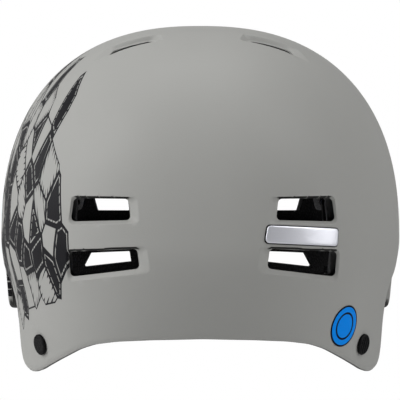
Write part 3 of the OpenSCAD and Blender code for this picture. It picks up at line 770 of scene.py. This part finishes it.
def shardNodes(group, gin):
    # Printed shards on the left side: cells of a 2D Voronoi laid on bearing and level. A cell is
    # drawn or left out as a whole, by the place of its own centre, and has an ink outline; some
    # are filled with a fine light line inside their edge, some are hatched.
    look = shardLook
    x, y, z = add(group, "SeparateXYZ", {0: gin["Vector"]}).outputs
    bearing = calc(group, "ARCTAN2", x, times(group, y, -1.0))
    flat = add(group, "CombineXYZ", {0: times(group, bearing, look["reach"]), 1: z}).outputs[0]
    turn = dict(Rotation=(0, 0, look["turn"]), Scale=(1, look["squash"], 1))
    laid = add(group, "Mapping", {"Vector": flat, **turn}).outputs[0]
    cells = {"Vector": laid, "Scale": 1 / look["cell"]}
    edge = add(group, "TexVoronoi", cells, voronoi_dimensions="2D",
               feature="DISTANCE_TO_EDGE").outputs["Distance"]
    cell = add(group, "TexVoronoi", cells, voronoi_dimensions="2D").outputs
    red, green, blue = add(group, "SeparateColor", {0: cell["Color"]}).outputs
    middle = add(group, "Mapping", {"Vector": cell["Position"], **turn}, vector_type="TEXTURE")
    atX, atY, _ = add(group, "SeparateXYZ", {0: middle.outputs[0]}).outputs
    # The drawn zone: its near side is nearest to the middle of the back at one level, and cells
    # thin out towards it.
    lean = calc(group, "ABSOLUTE", calc(group, "SUBTRACT", atY, look["middle"]))
    limit = scaled(group, lean, -look["spread"], look["near"])
    inside = calc(group, "DIVIDE", calc(group, "SUBTRACT", limit, atX), look["thinOver"],
                  clamp=True)
    drawn = calc(group, "LESS_THAN", times(group, blue, look["thinShare"]), inside)
    for value, bound, rule in ((atX, look["far"], "GREATER_THAN"), (atY, look["top"], "LESS_THAN"),
                               (atY, look["bottom"], "GREATER_THAN")):
        drawn = times(group, drawn, calc(group, rule, value, bound))
    half = look["line"] / look["cell"]
    outlineEnd, lightStart, lightEnd = [[half * share for share in look[key]]
                                        for key in ("outline", "lightFrom", "lightTo")]
    outline = ramp(group, edge, *outlineEnd, 1.0, 0.0)
    inline = times(group, ramp(group, edge, *lightStart), ramp(group, edge, *lightEnd, 1.0, 0.0))
    filled = times(group, calc(group, "LESS_THAN", red, look["filled"]),
                   calc(group, "SUBTRACT", 1.0, inline))
    angle = times(group, green, math.pi)
    laidX, laidY, _ = add(group, "SeparateXYZ", {0: laid}).outputs
    across = calc(group, "ADD", times(group, laidX, calc(group, "COSINE", angle)),
                  times(group, laidY, calc(group, "SINE", angle)))
    wave = calc(group, "SINE", times(group, across, 2 * math.pi / look["hatchStep"]))
    wave = calc(group, "SUBTRACT", wave, times(group, edge, look["hatchFade"]))
    hatch = times(group, ramp(group, wave, 0.0, 0.3), calc(group, "LESS_THAN", red, look["hatched"]))
    ink = calc(group, "MAXIMUM", calc(group, "MAXIMUM", outline, filled), hatch)
    return dict(Ink=times(group, ink, drawn))


shardGroup = makeGroup("shards", shardNodes)


def shellPaintMaterial():
    mat, tree, where, grain = newMaterial("shellPaint", 1400.0, 9.0, 0.07, Specular_IOR_Level=0.14,
                                          Coat_Weight=0.03, Coat_Roughness=0.32)
    ink = add(tree, "Group", {"Vector": where}, node_tree=shardGroup).outputs["Ink"]
    color = toned(tree, mixColor(tree, ink, paintLook["color"], paintLook["ink"]), grain)
    color = mixColor(tree, times(tree, wearOf(tree, where, 0.0009, 0.6), 0.22), color,
                     paintLook["rubbed"])
    # Bare dark plastic on the inner wall, which looks towards the middle of the bowl; faces that look
    # down, the cut edge among them, get the same dark colour as painted shade.
    own = add(tree, "NewGeometry").outputs["Normal"]
    up = add(tree, "SeparateXYZ", {0: own}).outputs["Z"]
    away = vectorMath(tree, "SUBTRACT", where, (0, 0, widestLevel * mm))[0]
    outward = vectorMath(tree, "DOT_PRODUCT", own, away)["Value"]
    # Faces that look down get painted shade; faces that look inwards get bare plastic.
    bareAndShade = calc(tree, "MAXIMUM", ramp(tree, up, -0.6, -0.8), ramp(tree, outward, -0.03, -0.05))
    color = mixColor(tree, bareAndShade, color, paintLook["rawAndShade"])
    rough = scaled(tree, grain["Slow"], 0.12, paintLook["rough"] - 0.06)
    return finish(mat, color, scaled(tree, ink, -0.06, rough), scaled(tree, ink, 0.15, grain["Height"]),
                  0.00006)


foamLook = dict(color=srgb(17, 17, 18), seam=srgb(8, 8, 9), bead=420.0)


def linerFoamMaterial():
    # Moulded beads: a fine dark seam round each cell, which swells between its seams.
    mat, tree, where, grain = newMaterial("linerFoam", 1600.0, 30.0, 0.25, Specular_IOR_Level=0.15)
    beads = add(tree, "TexVoronoi", {"Vector": where, "Scale": foamLook["bead"]},
                feature="DISTANCE_TO_EDGE").outputs["Distance"]
    seam = ramp(tree, beads, 0.0, 0.12)
    color = mixColor(tree, seam, foamLook["seam"], toned(tree, foamLook["color"], grain))
    return finish(mat, color, scaled(tree, seam, -0.18, 0.86), ramp(tree, beads, 0.0, 0.35), 0.0003, 0.7)


webLook = dict(color=srgb(27, 27, 29), gap=srgb(15, 15, 16), border=srgb(44, 44, 46), rib=0.00095,
               cord=0.0011, borderFrom=0.0062, borderTo=0.0068)


def webbingMaterial():
    # Ribs across the band and cords along it, from the piece's own flat place.
    mat, tree, _, grain = newMaterial("webbing", 2600.0, 60.0, 0.3, Specular_IOR_Level=0.35,
                                      Sheen_Weight=0.25, Sheen_Roughness=0.5)
    x, y, _ = add(tree, "SeparateXYZ", {0: flatPlace(tree)}).outputs
    ribs = calc(tree, "SINE", times(tree, y, 2 * math.pi / webLook["rib"]))
    cords = calc(tree, "SINE", times(tree, x, 2 * math.pi / webLook["cord"]))
    weave = times(tree, calc(tree, "ABSOLUTE", ribs), scaled(tree, cords, 0.35, 0.65))
    border = ramp(tree, calc(tree, "ABSOLUTE", x), webLook["borderFrom"], webLook["borderTo"])
    color = mixColor(tree, ramp(tree, weave, 0.1, 0.9), webLook["gap"],
                     toned(tree, webLook["color"], grain))
    color = mixColor(tree, times(tree, border, 0.5), color, webLook["border"])
    return finish(mat, color, scaled(tree, weave, -0.15, 0.85),
                  scaled(tree, grain["Height"], 0.2, weave), 0.00035, 0.8)


clothLook = dict(color=srgb(50, 50, 53), dimple=srgb(20, 20, 22), step=0.0021)


def padClothMaterial():
    # Open knit: rows of small round dimples, staggered, over a soft sheen.
    mat, tree, _, grain = newMaterial("padCloth", 3000.0, 40.0, 0.22, Specular_IOR_Level=0.25,
                                      Sheen_Weight=0.4, Sheen_Roughness=0.45)
    cells = add(tree, "TexVoronoi", {"Vector": flatPlace(tree), "Scale": 1 / clothLook["step"],
                                     "Randomness": 0.12}).outputs["Distance"]
    knit = ramp(tree, cells, 0.22, 0.42)
    color = mixColor(tree, knit, clothLook["dimple"], toned(tree, clothLook["color"], grain))
    return finish(mat, color, scaled(tree, knit, -0.08, 0.95), scaled(tree, grain["Height"], 0.35, knit),
                  0.0004, 0.8)


def mouldedMaterial(name, color, rough, texture=0.00005, edge=0.35, edgeColor=srgb(92, 92, 94), dusty=0.12,
                    **sockets):
    # Moulded plastic or rubber: fine spark texture, slow tone, rubbed edges and a little dust.
    mat, tree, where, grain = newMaterial(name, 1900.0, 35.0, 0.18, **sockets)
    dust = add(tree, "Group", {"Vector": where, "Amount": dusty}, node_tree=dustGroup).outputs["Mask"]
    out = mixColor(tree, times(tree, wearOf(tree, where, 0.0005, 0.7), edge), toned(tree, color, grain),
                   edgeColor)
    out = mixColor(tree, dust, out, srgb(150, 146, 138))
    return finish(mat, out, scaled(tree, grain["Slow"], 0.2, rough - 0.1), grain["Height"], texture, 0.8)


badgeLook = dict(color=srgb(214, 215, 222), scratched=srgb(150, 151, 158), rough=0.32)


def badgeMaterial():
    # Plated plate: brushed along its length, fine scratches, a soft blur of roughness.
    mat, tree, _, grain = newMaterial("brightMetal", 1200.0, 70.0, 0.10, Metallic=0.9)
    flat = flatPlace(tree)
    stretched = add(tree, "Mapping", {"Vector": flat, "Scale": (0.35, 9.0, 1.0)}).outputs[0]
    brush = noise(tree, stretched, 1.2, 4.0)
    slanted = add(tree, "Mapping", {"Vector": flat, "Rotation": (0, 0, 0.5), "Scale": (0.2, 4.0, 1.0)})
    lines = ramp(tree, noise(tree, slanted.outputs[0], 2.0, 5.0, 0.7), 0.60, 0.66)
    color = mixColor(tree, times(tree, lines, 0.15), toned(tree, badgeLook["color"], grain),
                     badgeLook["scratched"])
    rough = scaled(tree, lines, 0.12, scaled(tree, brush, 0.10, badgeLook["rough"]))
    return finish(mat, color, rough, scaled(tree, lines, -0.4, brush), 0.00002, 0.5)


labelLook = dict(blue=srgb(0, 139, 245), ink=srgb(8, 20, 36), rim=0.905, ring=(0.56, 0.66), soft=0.02)


def labelMaterial():
    # Printed film: a dark rim and one thin plain ring on blue.
    mat, tree, _, grain = newMaterial("blueLabel", 2400.0, 90.0, 0.14, Specular_IOR_Level=0.05)
    flat = vectorMath(tree, "MULTIPLY", flatPlace(tree), (1, 1, 0))[0]
    away = vectorMath(tree, "LENGTH", flat)["Value"]
    rim, ringIn = [ramp(tree, away, edge, edge + labelLook["soft"])
                   for edge in (labelLook["rim"], labelLook["ring"][0])]
    ringOut = ramp(tree, away, labelLook["ring"][1], labelLook["ring"][1] + labelLook["soft"], 1.0, 0.0)
    ink = calc(tree, "MAXIMUM", rim, times(tree, ringIn, ringOut))
    color = mixColor(tree, ink, toned(tree, labelLook["blue"], grain), labelLook["ink"])
    return finish(mat, color, scaled(tree, grain["Slow"], 0.15, 0.28),
                  scaled(tree, ink, 0.5, grain["Height"]), 0.00004, 0.6)


def hookMaterial():
    # Hook tape: rows of tiny hooks as sharp dots.
    mat, tree, where, grain = newMaterial("hookTape", 3000.0, 14.0, 0.2, Specular_IOR_Level=0.4)
    dots = add(tree, "TexVoronoi", {"Vector": where, "Scale": 900.0, "Randomness": 0.25}).outputs["Distance"]
    peak = ramp(tree, dots, 0.15, 0.5, 1.0, 0.0)
    color = mixColor(tree, peak, srgb(14, 14, 15), toned(tree, srgb(48, 48, 50), grain))
    return finish(mat, color, scaled(tree, peak, -0.3, 0.8), peak, 0.0005, 0.9)


looks = dict(
    shell_paint=shellPaintMaterial(), liner_foam=linerFoamMaterial(), webbing=webbingMaterial(),
    pad_cloth=padClothMaterial(), bright_metal=badgeMaterial(), blue_label=labelMaterial(),
    hook_tape=hookMaterial(),
    black_plastic=mouldedMaterial("blackPlastic", srgb(10, 10, 11), 0.48, 0.00007, 0.12, srgb(60, 60, 62),
                                  dusty=0.02, Specular_IOR_Level=0.1),
    keeper_rubber=mouldedMaterial("keeperRubber", srgb(24, 24, 25), 0.66, 0.00004, 0.12),
    damper_gel=mouldedMaterial("damperGel", srgb(38, 118, 196), 0.38, 0.00004, 0.2, srgb(120, 170, 220),
                               Subsurface_Weight=0.15, Subsurface_Scale=0.004),
    magnet_metal=mouldedMaterial("magnetMetal", srgb(176, 177, 180), 0.28, 0.00003, 0.3,
                                 srgb(225, 225, 228), Metallic=1.0))
print("materials made")


def dress(piece, body, slot, *nodes):
    # Gives a piece its finish, hangs it under its body's empty and hides the solids that it stands for.
    piece.data.materials.clear()
    piece.data.materials.append(looks[slot])
    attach(piece, body)
    if nodes:
        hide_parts(*nodes)


dress(shell, "helmet", "shell_paint", "outer_shell")
dress(liner, "helmet", "liner_foam", "impact_liner")


# Small shapes that follow a skin, and swept bands.
def skinPatch(name, form, outline, rings):
    # An outline (sideways and up, millimetres) laid on the outer skin round a place. Each ring
    # scales the outline and gives its height above the skin; the last is closed at its middle.
    az, z, tilt = form["az"], form["level"], form.get("tilt", 0.0)
    radius = np.linalg.norm(skinPoint(outerSkin, az, downOf(outerSkin, z))[:2])
    turned = rotated(outline, tilt)
    points, flat = [], []
    for scale, height in (*rings, (0, rings[-1][1])):
        ring = (turned if scale else turned[:1]) * scale
        points.append(skinPoint(outerSkin, az + np.degrees(ring[:, 0] / radius),
                                downOf(outerSkin, z + ring[:, 1]), -height))
        flat.append(outline[:len(ring)] * scale)
    return makePiece(name, np.vstack(points), closedRings(len(rings), len(outline)),
                     np.vstack(flat) / form.get("unit", 1))


def evenly(outline, count):
    # The same closed outline with points at equal steps.
    return spaced(np.vstack([outline, outline[:1]]), np.arange(count) / count)


def ellipse(a, b, count=72):
    t = turns(count)
    return np.stack([a * np.cos(t), b * np.sin(t)], 1)


badgeForm = dict(az=22.6, level=-79.0, tilt=-0.045, radius=2.0, badgeShadowPlate=(1.03, 1.1),
                 corners=[[-21.6, -4.2], [-20.5, 4.9], [22.5, 4.9], [22.1, -4.4]])
outline = evenly(roundQuad(badgeForm["corners"], badgeForm["radius"], 8), 144)
badge = skinPatch("bright_metal_badge", badgeForm, outline,
                  [(0.99, -0.3), (1.0, 0.62), (0.985, 0.95), (0.955, 1.06), (0.80, 1.09),
                   (0.6, 1.1), (0.4, 1.1), (0.2, 1.1)])
# A dark plate a little larger than the badge and just proud of the skin: painted shadow round the badge's
# edge.
badgeShadowPlate = skinPatch("black_plastic_badge_painted_shadow", badgeForm, outline * badgeForm["badgeShadowPlate"],
                   [(0.98, -0.3), (1.0, 0.05), (0.995, 0.16), (0.9, 0.16), (0.5, 0.16)])
dress(badge, "helmet", "bright_metal", "badge_plate")
dress(badgeShadowPlate, "helmet", "black_plastic")

labelForm = dict(az=39.8, level=-127.3, unit=(10.7, 11.15))
label = skinPatch("blue_label_disc", labelForm, ellipse(*labelForm["unit"]),
                  [(0.995, 0.02), (1.0, 0.22), (0.985, 0.30)] + [(k / 8, 0.31) for k in range(7, 0, -1)])
dress(label, "helmet", "blue_label", "round_sticker")

rivetForm = dict(radius=5.7, height=1.8, ribPitch=1.7, ribDepth=0.34, rim=0.9, turn=0.7, count=64)
anchorPlaces = dict(rear=(50.18, -137.96), front=(112.5, -109))


def rivetPart(az, level):
    # A low dome: edge round-over, plain rim, and slanting ribs inside it, on a grid of rings.
    here, side, up, n = skinFrame(outerSkin, az, downOf(outerSkin, level))
    big, high, rim, count = (rivetForm[key] for key in ("radius", "height", "rim", "count"))
    radii = np.concatenate([[big * 0.98, big, big, big - 0.25, big - 0.6, big - rim],
                            np.linspace(big - rim - 0.25, 0.35, 16)])
    base = np.concatenate([[0.1, 0.15, high - 0.75, high - 0.3, high - 0.05, high],
                           np.full(16, high - 0.12)])
    t = turns(count)
    x, y = radii[:, None] * np.cos(t), radii[:, None] * np.sin(t)
    across = x * math.cos(rivetForm["turn"]) + y * math.sin(rivetForm["turn"])
    wave = np.clip(1.6 * np.sin(2 * np.pi * across / rivetForm["ribPitch"]), -1, 1)
    h = base[:, None] + np.where((radii < big - rim - 0.1)[:, None], wave * rivetForm["ribDepth"], 0)
    grid = here + x[..., None] * side + y[..., None] * up + h[..., None] * n
    points = np.vstack([grid.reshape(-1, 3), here + high * n - 0.1 * n])
    return points, closedRings(len(radii), count) + [list(range(count - 1, -1, -1))]


for end, (az, level) in anchorPlaces.items():
    for sideName, s in (("left", -1), ("right", 1)):
        node = sideName + "_" + end + "_rivet"
        dress(makePiece("black_plastic_" + node, *rivetPart(s * az, level)), "helmet", "black_plastic", node)
print("badge, label and rivets made")


def flatOval(count, *powers):
    # A super-ellipse of half sizes 1, as sideways and outward shares.
    t = turns(count, 0.5)
    return [np.sign(w) * abs(w) ** power for w, power in zip((np.cos(t), np.sin(t)), powers)]


def unrolled(aside, run):
    # Flat places of a band from the place aside and the length along it.
    return np.stack(np.broadcast_arrays(aside, run[:, None]), -1).reshape(-1, 2) * mm


def ribbon(path, wide, thick, count=20):
    # A band: a flat super-ellipse carried along a path, with its width along Y and its own normal
    # square to that and to the path.
    path = np.asarray(path, float)
    across = np.tile([0.0, 1.0, 0.0], (len(path), 1))
    along = np.gradient(path, axis=0)
    along /= np.linalg.norm(along, axis=1)[:, None]
    normal = np.cross(along, across)
    normal /= np.linalg.norm(normal, axis=1)[:, None]
    wide = np.broadcast_to(wide, len(path))[:, None]
    a, b = flatOval(count, *harness["powers"])
    pts = (path[:, None] + across[:, None] * (a * wide / 2)[..., None]
           + normal[:, None] * (b * thick / 2)[None, :, None])
    ids = np.arange(len(path) * count).reshape(-1, count)
    faces = ringQuads(ids).tolist() + [ids[0, ::-1].tolist(), ids[-1].tolist()]
    return pts.reshape(-1, 3), faces, unrolled(a[None] * wide / 2, runOf(path))


def rounded(points, count, blur=3):
    # A smooth path through corners: even steps, then a moving average that keeps both ends.
    out = spaced(np.asarray(points, float), np.linspace(0, 1, count))
    for _ in range(blur):
        out[1:-1] = (out[:-2] + 2 * out[1:-1] + out[2:]) / 4
    return out


harness = dict(hingeX=72.0, hingeZ=-122.0, frontY=44.0, rearY=-60.0, barRadius=1.5, wide=15.0,
               thick=1.7, powers=(0.4, 0.8), arcCentre=(12.0, -76.0), arcRadius=66.0, arcStart=8.0,
               chinFrom=1.0, chinTo=65.5, legGap=0.35, legTop=(-0.6, -6.2), barGap=0.25,
               fromBar=(-0.35, 3.2), sewnWide=10.2, tailShare=0.36, tailGap=0.1)


def arcPoint(angle):
    a = np.radians(angle)
    (x, z), r = harness["arcCentre"], harness["arcRadius"]
    return np.array([x + r * np.cos(a), 0 * a, z + r * np.sin(a)])


def legPath(barY, toward):
    # Down from the divider, once round the strap bar on its inner side, and a sewn tail. It is
    # narrow at the divider and grows to full width at the bar.
    aside, below = harness["legTop"]
    top = arcPoint(harness["arcStart"]) + [aside, toward * (harness["wide"] / 2 + harness["legGap"]), below]
    bar = np.array([harness["hingeX"], barY, harness["hingeZ"]])
    loop = harness["barRadius"] + harness["barGap"] + harness["thick"] / 2
    t = np.radians(np.linspace(20, 340, 40))
    ring = bar + np.stack([loop * np.cos(t), 0 * t, -loop * np.sin(t)], 1)
    aside, above = harness["fromBar"]
    outerStart = bar + [loop + aside, 0, above]
    tail = np.vstack([outerStart, outerStart + (top - outerStart) * harness["tailShare"]])
    tail += [-harness["thick"] - harness["tailGap"], 0, 0]
    path = np.vstack([rounded(np.vstack([top, outerStart]), 60, 1)[:-1], ring, rounded(tail, 24, 1)[1:]])
    path = rounded(path, 150, 5)
    share = np.clip((path[:, 2] - bar[2]) / (top[2] - bar[2]), 0, 1)
    return path, harness["wide"] * (1 - share) + harness["sewnWide"] * share


chinPath = arcPoint(np.linspace(harness["chinFrom"], harness["chinTo"], 110)).T
for sideName, s in (("left", -1), ("right", 1)):
    for name, node, (path, wide) in (
            ("front_leg", "front_leg", legPath(harness["frontY"], 1)),
            ("rear_leg", "rear_leg", legPath(harness["rearY"], -1)),
            ("chin_band", "chin_webbing", (chinPath, harness["wide"]))):
        points, faces, flat = ribbon(path, wide, harness["thick"])
        strap = makePiece("webbing_" + sideName + "_" + name, points * [s, 1, 1], faces, flat)
        dress(strap, sideName + "_harness", "webbing", sideName + "_" + node)
print("webbing made")

# Pads: cushions with a sewn edge that lie on the liner's inner skin. Each has its bearings, its
# two levels, which are shares of the way down on the crown, its grid and its sewn channels. In the
# form, flat is the knit's millimetres for a degree of bearing and for half the pad's height.
padForm = dict(size=0.965, flat=(1.6, 12), out=2.15, thick=5.9, middle=0.36, inner=0.56, outer=-0.30,
               pulled=0.05, corner=0.10,
               pressure=4.0, frames=20, cap=1.3, voxel=0.0024, seamAt=0.86, seamDepth=1.0, seamWidth=0.035,
               channelDepth=0.7, channelWidth=0.03, clear=1.85, longer=30)
pads = dict(
    brow_pad=(129, 231, -71, -89, 96, 20, 3), nape_pad=(-38, 38, -103, -121, 72, 20, 2),
    front_crown_pad=(160, 200, 0.2, 0.6, 40, 44, 1), rear_crown_pad=(-20, 20, 0.2, 0.6, 40, 44, 1),
    right_front_pad=(117, 130, -36, -68, 22, 34, 0), left_front_pad=(-130, -117, -36, -68, 22, 34, 0),
    right_rear_pad=(50, 65, -36, -84, 24, 48, 1), left_rear_pad=(-65, -50, -36, -84, 24, 48, 1))
padMiddle = padForm["out"] + padForm["middle"] * padForm["thick"]


def padRange(az0, az1, lo, hi):
    # Middle and half size of a pad, in bearing and in way down.
    if lo < 0:
        lo, hi = downOf(innerSkin, float(lo)), downOf(innerSkin, float(hi))
    return (az0 + az1) / 2, (az1 - az0) / 2, (float(lo) + float(hi)) / 2, (float(hi) - float(lo)) / 2


def padMesh(spec):
    # Two sheets over a square of u and v. Sides pull in between the corners, corners are cut off
    # by the eighth power of u times v, and the height is a flat-topped super-ellipse.
    azMiddle, azHalf, downMiddle, downHalf = padRange(*spec[:4])
    nu, nv = spec[4:6]
    u, v = np.meshgrid(np.linspace(-1, 1, nu + 1), np.linspace(-1, 1, nv + 1), indexing="ij")
    shrink = padForm["size"] * (1 - padForm["corner"] * abs(u * v) ** 8)
    a = u * shrink * (1 - padForm["pulled"] * (1 - v * v) * abs(u) ** 3)
    b = v * shrink * (1 - padForm["pulled"] * (1 - u * u) * abs(v) ** 3)
    high = np.sqrt(np.clip((1 - abs(u) ** 6) * (1 - abs(v) ** 6), 0, 1))
    quads = gridQuads(np.arange((nu + 1) * (nv + 1)).reshape(nu + 1, nv + 1))
    parts = []
    for share, faces in ((padForm["inner"], quads), (padForm["outer"], quads[:, ::-1])):
        inset = padMiddle + share * padForm["thick"] * high
        pts = skinPoint(innerSkin, azMiddle + a * azHalf, downMiddle + b * downHalf, inset)
        parts.append((pts.reshape(-1, 3), faces.tolist()))
    return joinParts(parts)


def padPlace(p, spec):
    # The pad's own u and v for points in space, from their bearing and level.
    azMiddle, azHalf, downMiddle, downHalf = padRange(*spec[:4])
    az = bearing(p) - azMiddle
    az = np.where(az < -180, az + 360, np.where(az > 180, az - 360, az))
    return az / azHalf, (downOf(innerSkin, ontoSkin(innerSkin, p)[:, 2]) - downMiddle) / downHalf


def inflate(obj):
    # Cloth under pressure, with no point moved further than the cap, then one subdivision.
    modify(obj, "REMESH", mode="VOXEL", voxel_size=padForm["voxel"])
    start = readPoints(obj)
    cloth = obj.modifiers.new("cloth", "CLOTH")
    settings = cloth.settings
    settings.quality = 5
    settings.mass = 0.2
    settings.use_pressure = True
    settings.uniform_pressure_force = padForm["pressure"]
    settings.effector_weights.gravity = 0
    cloth.collision_settings.use_collision = False
    for f in range(1, padForm["frames"] + 1):
        bpy.context.scene.frame_set(f)
    applyModifiers(obj)
    bpy.context.scene.frame_set(1)
    moved = readPoints(obj) - start
    size = np.linalg.norm(moved, axis=1)
    writeMesh(obj, start + moved * np.minimum(1, padForm["cap"] / np.maximum(size, 1e-6))[:, None])
    modify(obj, "SUBSURF", levels=1, render_levels=1)
    outwards(obj)


def bell(x, width):
    # 1 where x is 0, falling off smoothly over the width.
    return np.exp(-(x / width) ** 2)


for name, spec in pads.items():
    pad = makePiece("pad_cloth_" + name, *padMesh(spec))
    inflate(pad)
    p = readPoints(pad)
    u, v = padPlace(p, spec)
    normal, height = skinGauge(innerSkin, p)
    # Sewn edge and channels pinch the pad towards its middle layer; channels run across its
    # longer side.
    edge = np.maximum(abs(u), abs(v))
    pinch = bell(edge - padForm["seamAt"], padForm["seamWidth"]) * padForm["seamDepth"]
    for k in range(spec[6]):
        line = -1 + 2 * (k + 1) / (spec[6] + 1)
        along = u if spec[1] - spec[0] > padForm["longer"] else v
        pinch = np.maximum(pinch, bell(along - line, padForm["channelWidth"]) * padForm["channelDepth"]
                           * (edge < padForm["seamAt"]))
    p = p + normal * np.where(-height > padMiddle, pinch, 0)[:, None]
    writeMesh(pad, p - normal * np.maximum(0, padForm["clear"] + height)[:, None])
    across, up = padForm["flat"]
    setFlat(pad, np.stack([u * (spec[1] - spec[0]) / 2 * across, v * up], 1) * mm)
    pad.data.shade_smooth()
    dress(pad, "helmet", "pad_cloth", name)
print("pads made")


def tubePart(angle, wall, clear, count, *powers):
    # Outer skin and inner skin of a flattened tube carried along the arc, joined at both ends.
    n = len(angle)
    a, b = flatOval(count, *powers)
    inWide, inThick = harness["wide"] / 2 + clear, harness["thick"] / 2 + clear
    radial = np.stack([np.cos(np.radians(angle)), 0 * angle, np.sin(np.radians(angle))], 1)
    layers = []
    for grown in (wall, np.zeros(n)):
        w = ((inWide + grown)[:, None] * a)[..., None]
        h = ((inThick + grown)[:, None] * b)[..., None]
        pts = arcPoint(angle).T[:, None] + radial[:, None] * h + np.array([0, 1.0, 0]) * w
        layers.append(pts.reshape(-1, 3))
    outerLoops, innerLoops = np.arange(2 * n * count).reshape(2, n, count)
    faces = ringQuads([*outerLoops, *innerLoops[::-1], outerLoops[0]])
    run = np.radians(angle - angle[0]) * harness["arcRadius"]
    return np.vstack(layers), faces, np.tile(unrolled(a * inWide, run), (2, 1))


# Chin sleeve: a soft tube round the left chin band, thicker in its middle, with bound ends.
sleeveForm = dict(start=26.3, end=49.7, clear=0.38, wall=1.9, thinner=0.42, bound=2.2, seam=0.35,
                  seamWidth=0.35, quilt=0.16, quilts=5, powers=(0.35, 0.55))
angle = np.linspace(sleeveForm["start"], sleeveForm["end"], 64)
share = (angle - angle[0]) / (angle[-1] - angle[0])
run = np.radians(angle - angle[0]) * harness["arcRadius"]
toEnd = np.minimum(run, run[-1] - run)
seam = sleeveForm["seam"] * bell(toEnd - sleeveForm["bound"], sleeveForm["seamWidth"])
quilt = sleeveForm["quilt"] * (1 - np.cos(2 * np.pi * run / (run[-1] / sleeveForm["quilts"]))) ** 2 / 4
wall = sleeveForm["wall"] * (1 - sleeveForm["thinner"] * abs(2 * share - 1) ** 4) - seam - quilt
points, faces, flat = tubePart(angle, wall, sleeveForm["clear"], 48, *sleeveForm["powers"])
sleeve = makePiece("pad_cloth_chin_sleeve", points * [-1, 1, 1], faces, flat)
dress(sleeve, "chin_sleeve", "pad_cloth", "chin_pad")

# Strap keeper: a rubber ring with rounded edges and two low ribs.
keeperForm = dict(start=44.0, end=49.0, clear=0.36, wall=1.25, thinner=0.5, rib=0.25, powers=(0.3, 0.5))
share = np.linspace(0, 1, 15)
angle = keeperForm["start"] + (keeperForm["end"] - keeperForm["start"]) * share
wall = keeperForm["wall"] * (1 - keeperForm["thinner"] * abs(2 * share - 1) ** 6)
wall -= keeperForm["rib"] * (0.5 - 0.5 * np.cos(4 * np.pi * share))
points, faces, _ = tubePart(angle, wall, keeperForm["clear"], 56, *keeperForm["powers"])
keeper = makePiece("keeper_rubber_ring", points, faces)
dress(keeper, "keeper_ring", "keeper_rubber", "strap_keeper")
print("sleeve and keeper made")

# The pieces that keep their solids get a finish by name.
for name in list(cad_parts):
    obj = bpy.data.objects.get(name)
    if obj and obj.type == "MESH" and not obj.hide_render:
        look = looks["hook_tape" if name == "hook_patches" else "damper_gel" if name.startswith("damper")
                     else "magnet_metal" if name.endswith("magnets") else "black_plastic"]
        if not obj.material_slots:
            obj.data.materials.append(look)
        for slot in obj.material_slots:
            slot.material = look
print("all pieces dressed")

# Floor, light and background. Lamps stand round the middle of the helmet; each is a disc with its
# place, size in metres and power in watts.
studio = dict(floor=-0.300, floorHalf=1.6, floorColor=0.79, floorLift=0.55, liftFrom=0.35, liftTo=1.3,
              mirrored=0.35, target=(0, 0, -0.06))
lamps = dict(
    left=((-1.7, -0.55, 0.55), 1.0, 14.0), leftHigh=((-1.2, -0.8, 1.1), 0.9, 13.4),
    top=((0, 0.1, 1.7), 1.2, 9.2), topBack=((0, -1.1, 1.5), 0.9, 1.5),
    right=((1.7, -0.55, 0.3), 1.0, 5.7), rightHigh=((1.2, -0.8, 1.1), 0.9, 9.6),
    leftRim=((-1.6, 0.6, 0.3), 1.0, 2.5), rightRim=((1.6, 0.6, 0.3), 1.0, 0.6))
half = studio["floorHalf"]
floorCorners = [[x * half, y * half, studio["floor"]] for x, y in ((-1, -1), (1, -1), (1, 1), (-1, 1))]
floor = makeObject("floor", floorCorners, [[0, 1, 2, 3]], 1.0, False)


def floorMaterial():
    # Pale and matt, and clear from below. To the camera it also glows, more towards its edges,
    # where it meets the white.
    mat = bpy.data.materials.new("floor")
    tree = emptyTree(mat)
    where = add(tree, "TexCoord").outputs["Object"]
    tone = scaled(tree, noise(tree, where, 3.0, 2.0), 0.02, studio["floorColor"] - 0.01)
    matt = add(tree, "BsdfPrincipled", {"Base Color": grey(tree, tone), "Roughness": 0.9,
                                        "Specular IOR Level": 0.1}).outputs[0]
    away = vectorMath(tree, "LENGTH", where)["Value"]
    strength = ramp(tree, away, studio["liftFrom"], studio["liftTo"], studio["floorLift"], 1.0)
    lift = add(tree, "Emission", {"Color": (1, 1, 1, 1), "Strength": strength}).outputs[0]
    both = add(tree, "AddShader", {0: matt, 1: lift}).outputs[0]
    seen = add(tree, "LightPath").outputs["Is Camera Ray"]
    above = add(tree, "MixShader", {0: seen, 1: matt, 2: both}).outputs[0]
    below = add(tree, "NewGeometry").outputs["Backfacing"]
    clear = add(tree, "BsdfTransparent").outputs[0]
    sided = add(tree, "MixShader", {0: below, 1: above, 2: clear}).outputs[0]
    add(tree, "OutputMaterial", {0: sided})
    return mat


floor.data.materials.append(floorMaterial())
world = bpy.data.worlds.new("studio")
bpy.context.scene.world = world
tree = emptyTree(world)
ray = add(tree, "LightPath").outputs
seen = calc(tree, "MAXIMUM", ray["Is Camera Ray"], ray["Is Transmission Ray"])
strength = calc(tree, "MAXIMUM", seen, times(tree, ray["Is Glossy Ray"], studio["mirrored"]))
background = add(tree, "Background", {"Color": (1, 1, 1, 1), "Strength": strength})
add(tree, "OutputWorld", {0: background.outputs[0]})
for name, (spot, size, power) in lamps.items():
    data = bpy.data.lights.new(name, "AREA")
    data.shape, data.size, data.energy = "DISK", size, power
    lamp = newObject(name, data)
    lamp.location = spot
    lamp.rotation_euler = (Vector(studio["target"]) - Vector(spot)).to_track_quat("-Z", "Y").to_euler()
bpy.context.scene.view_settings.view_transform = "Standard"
print("stage and light set")
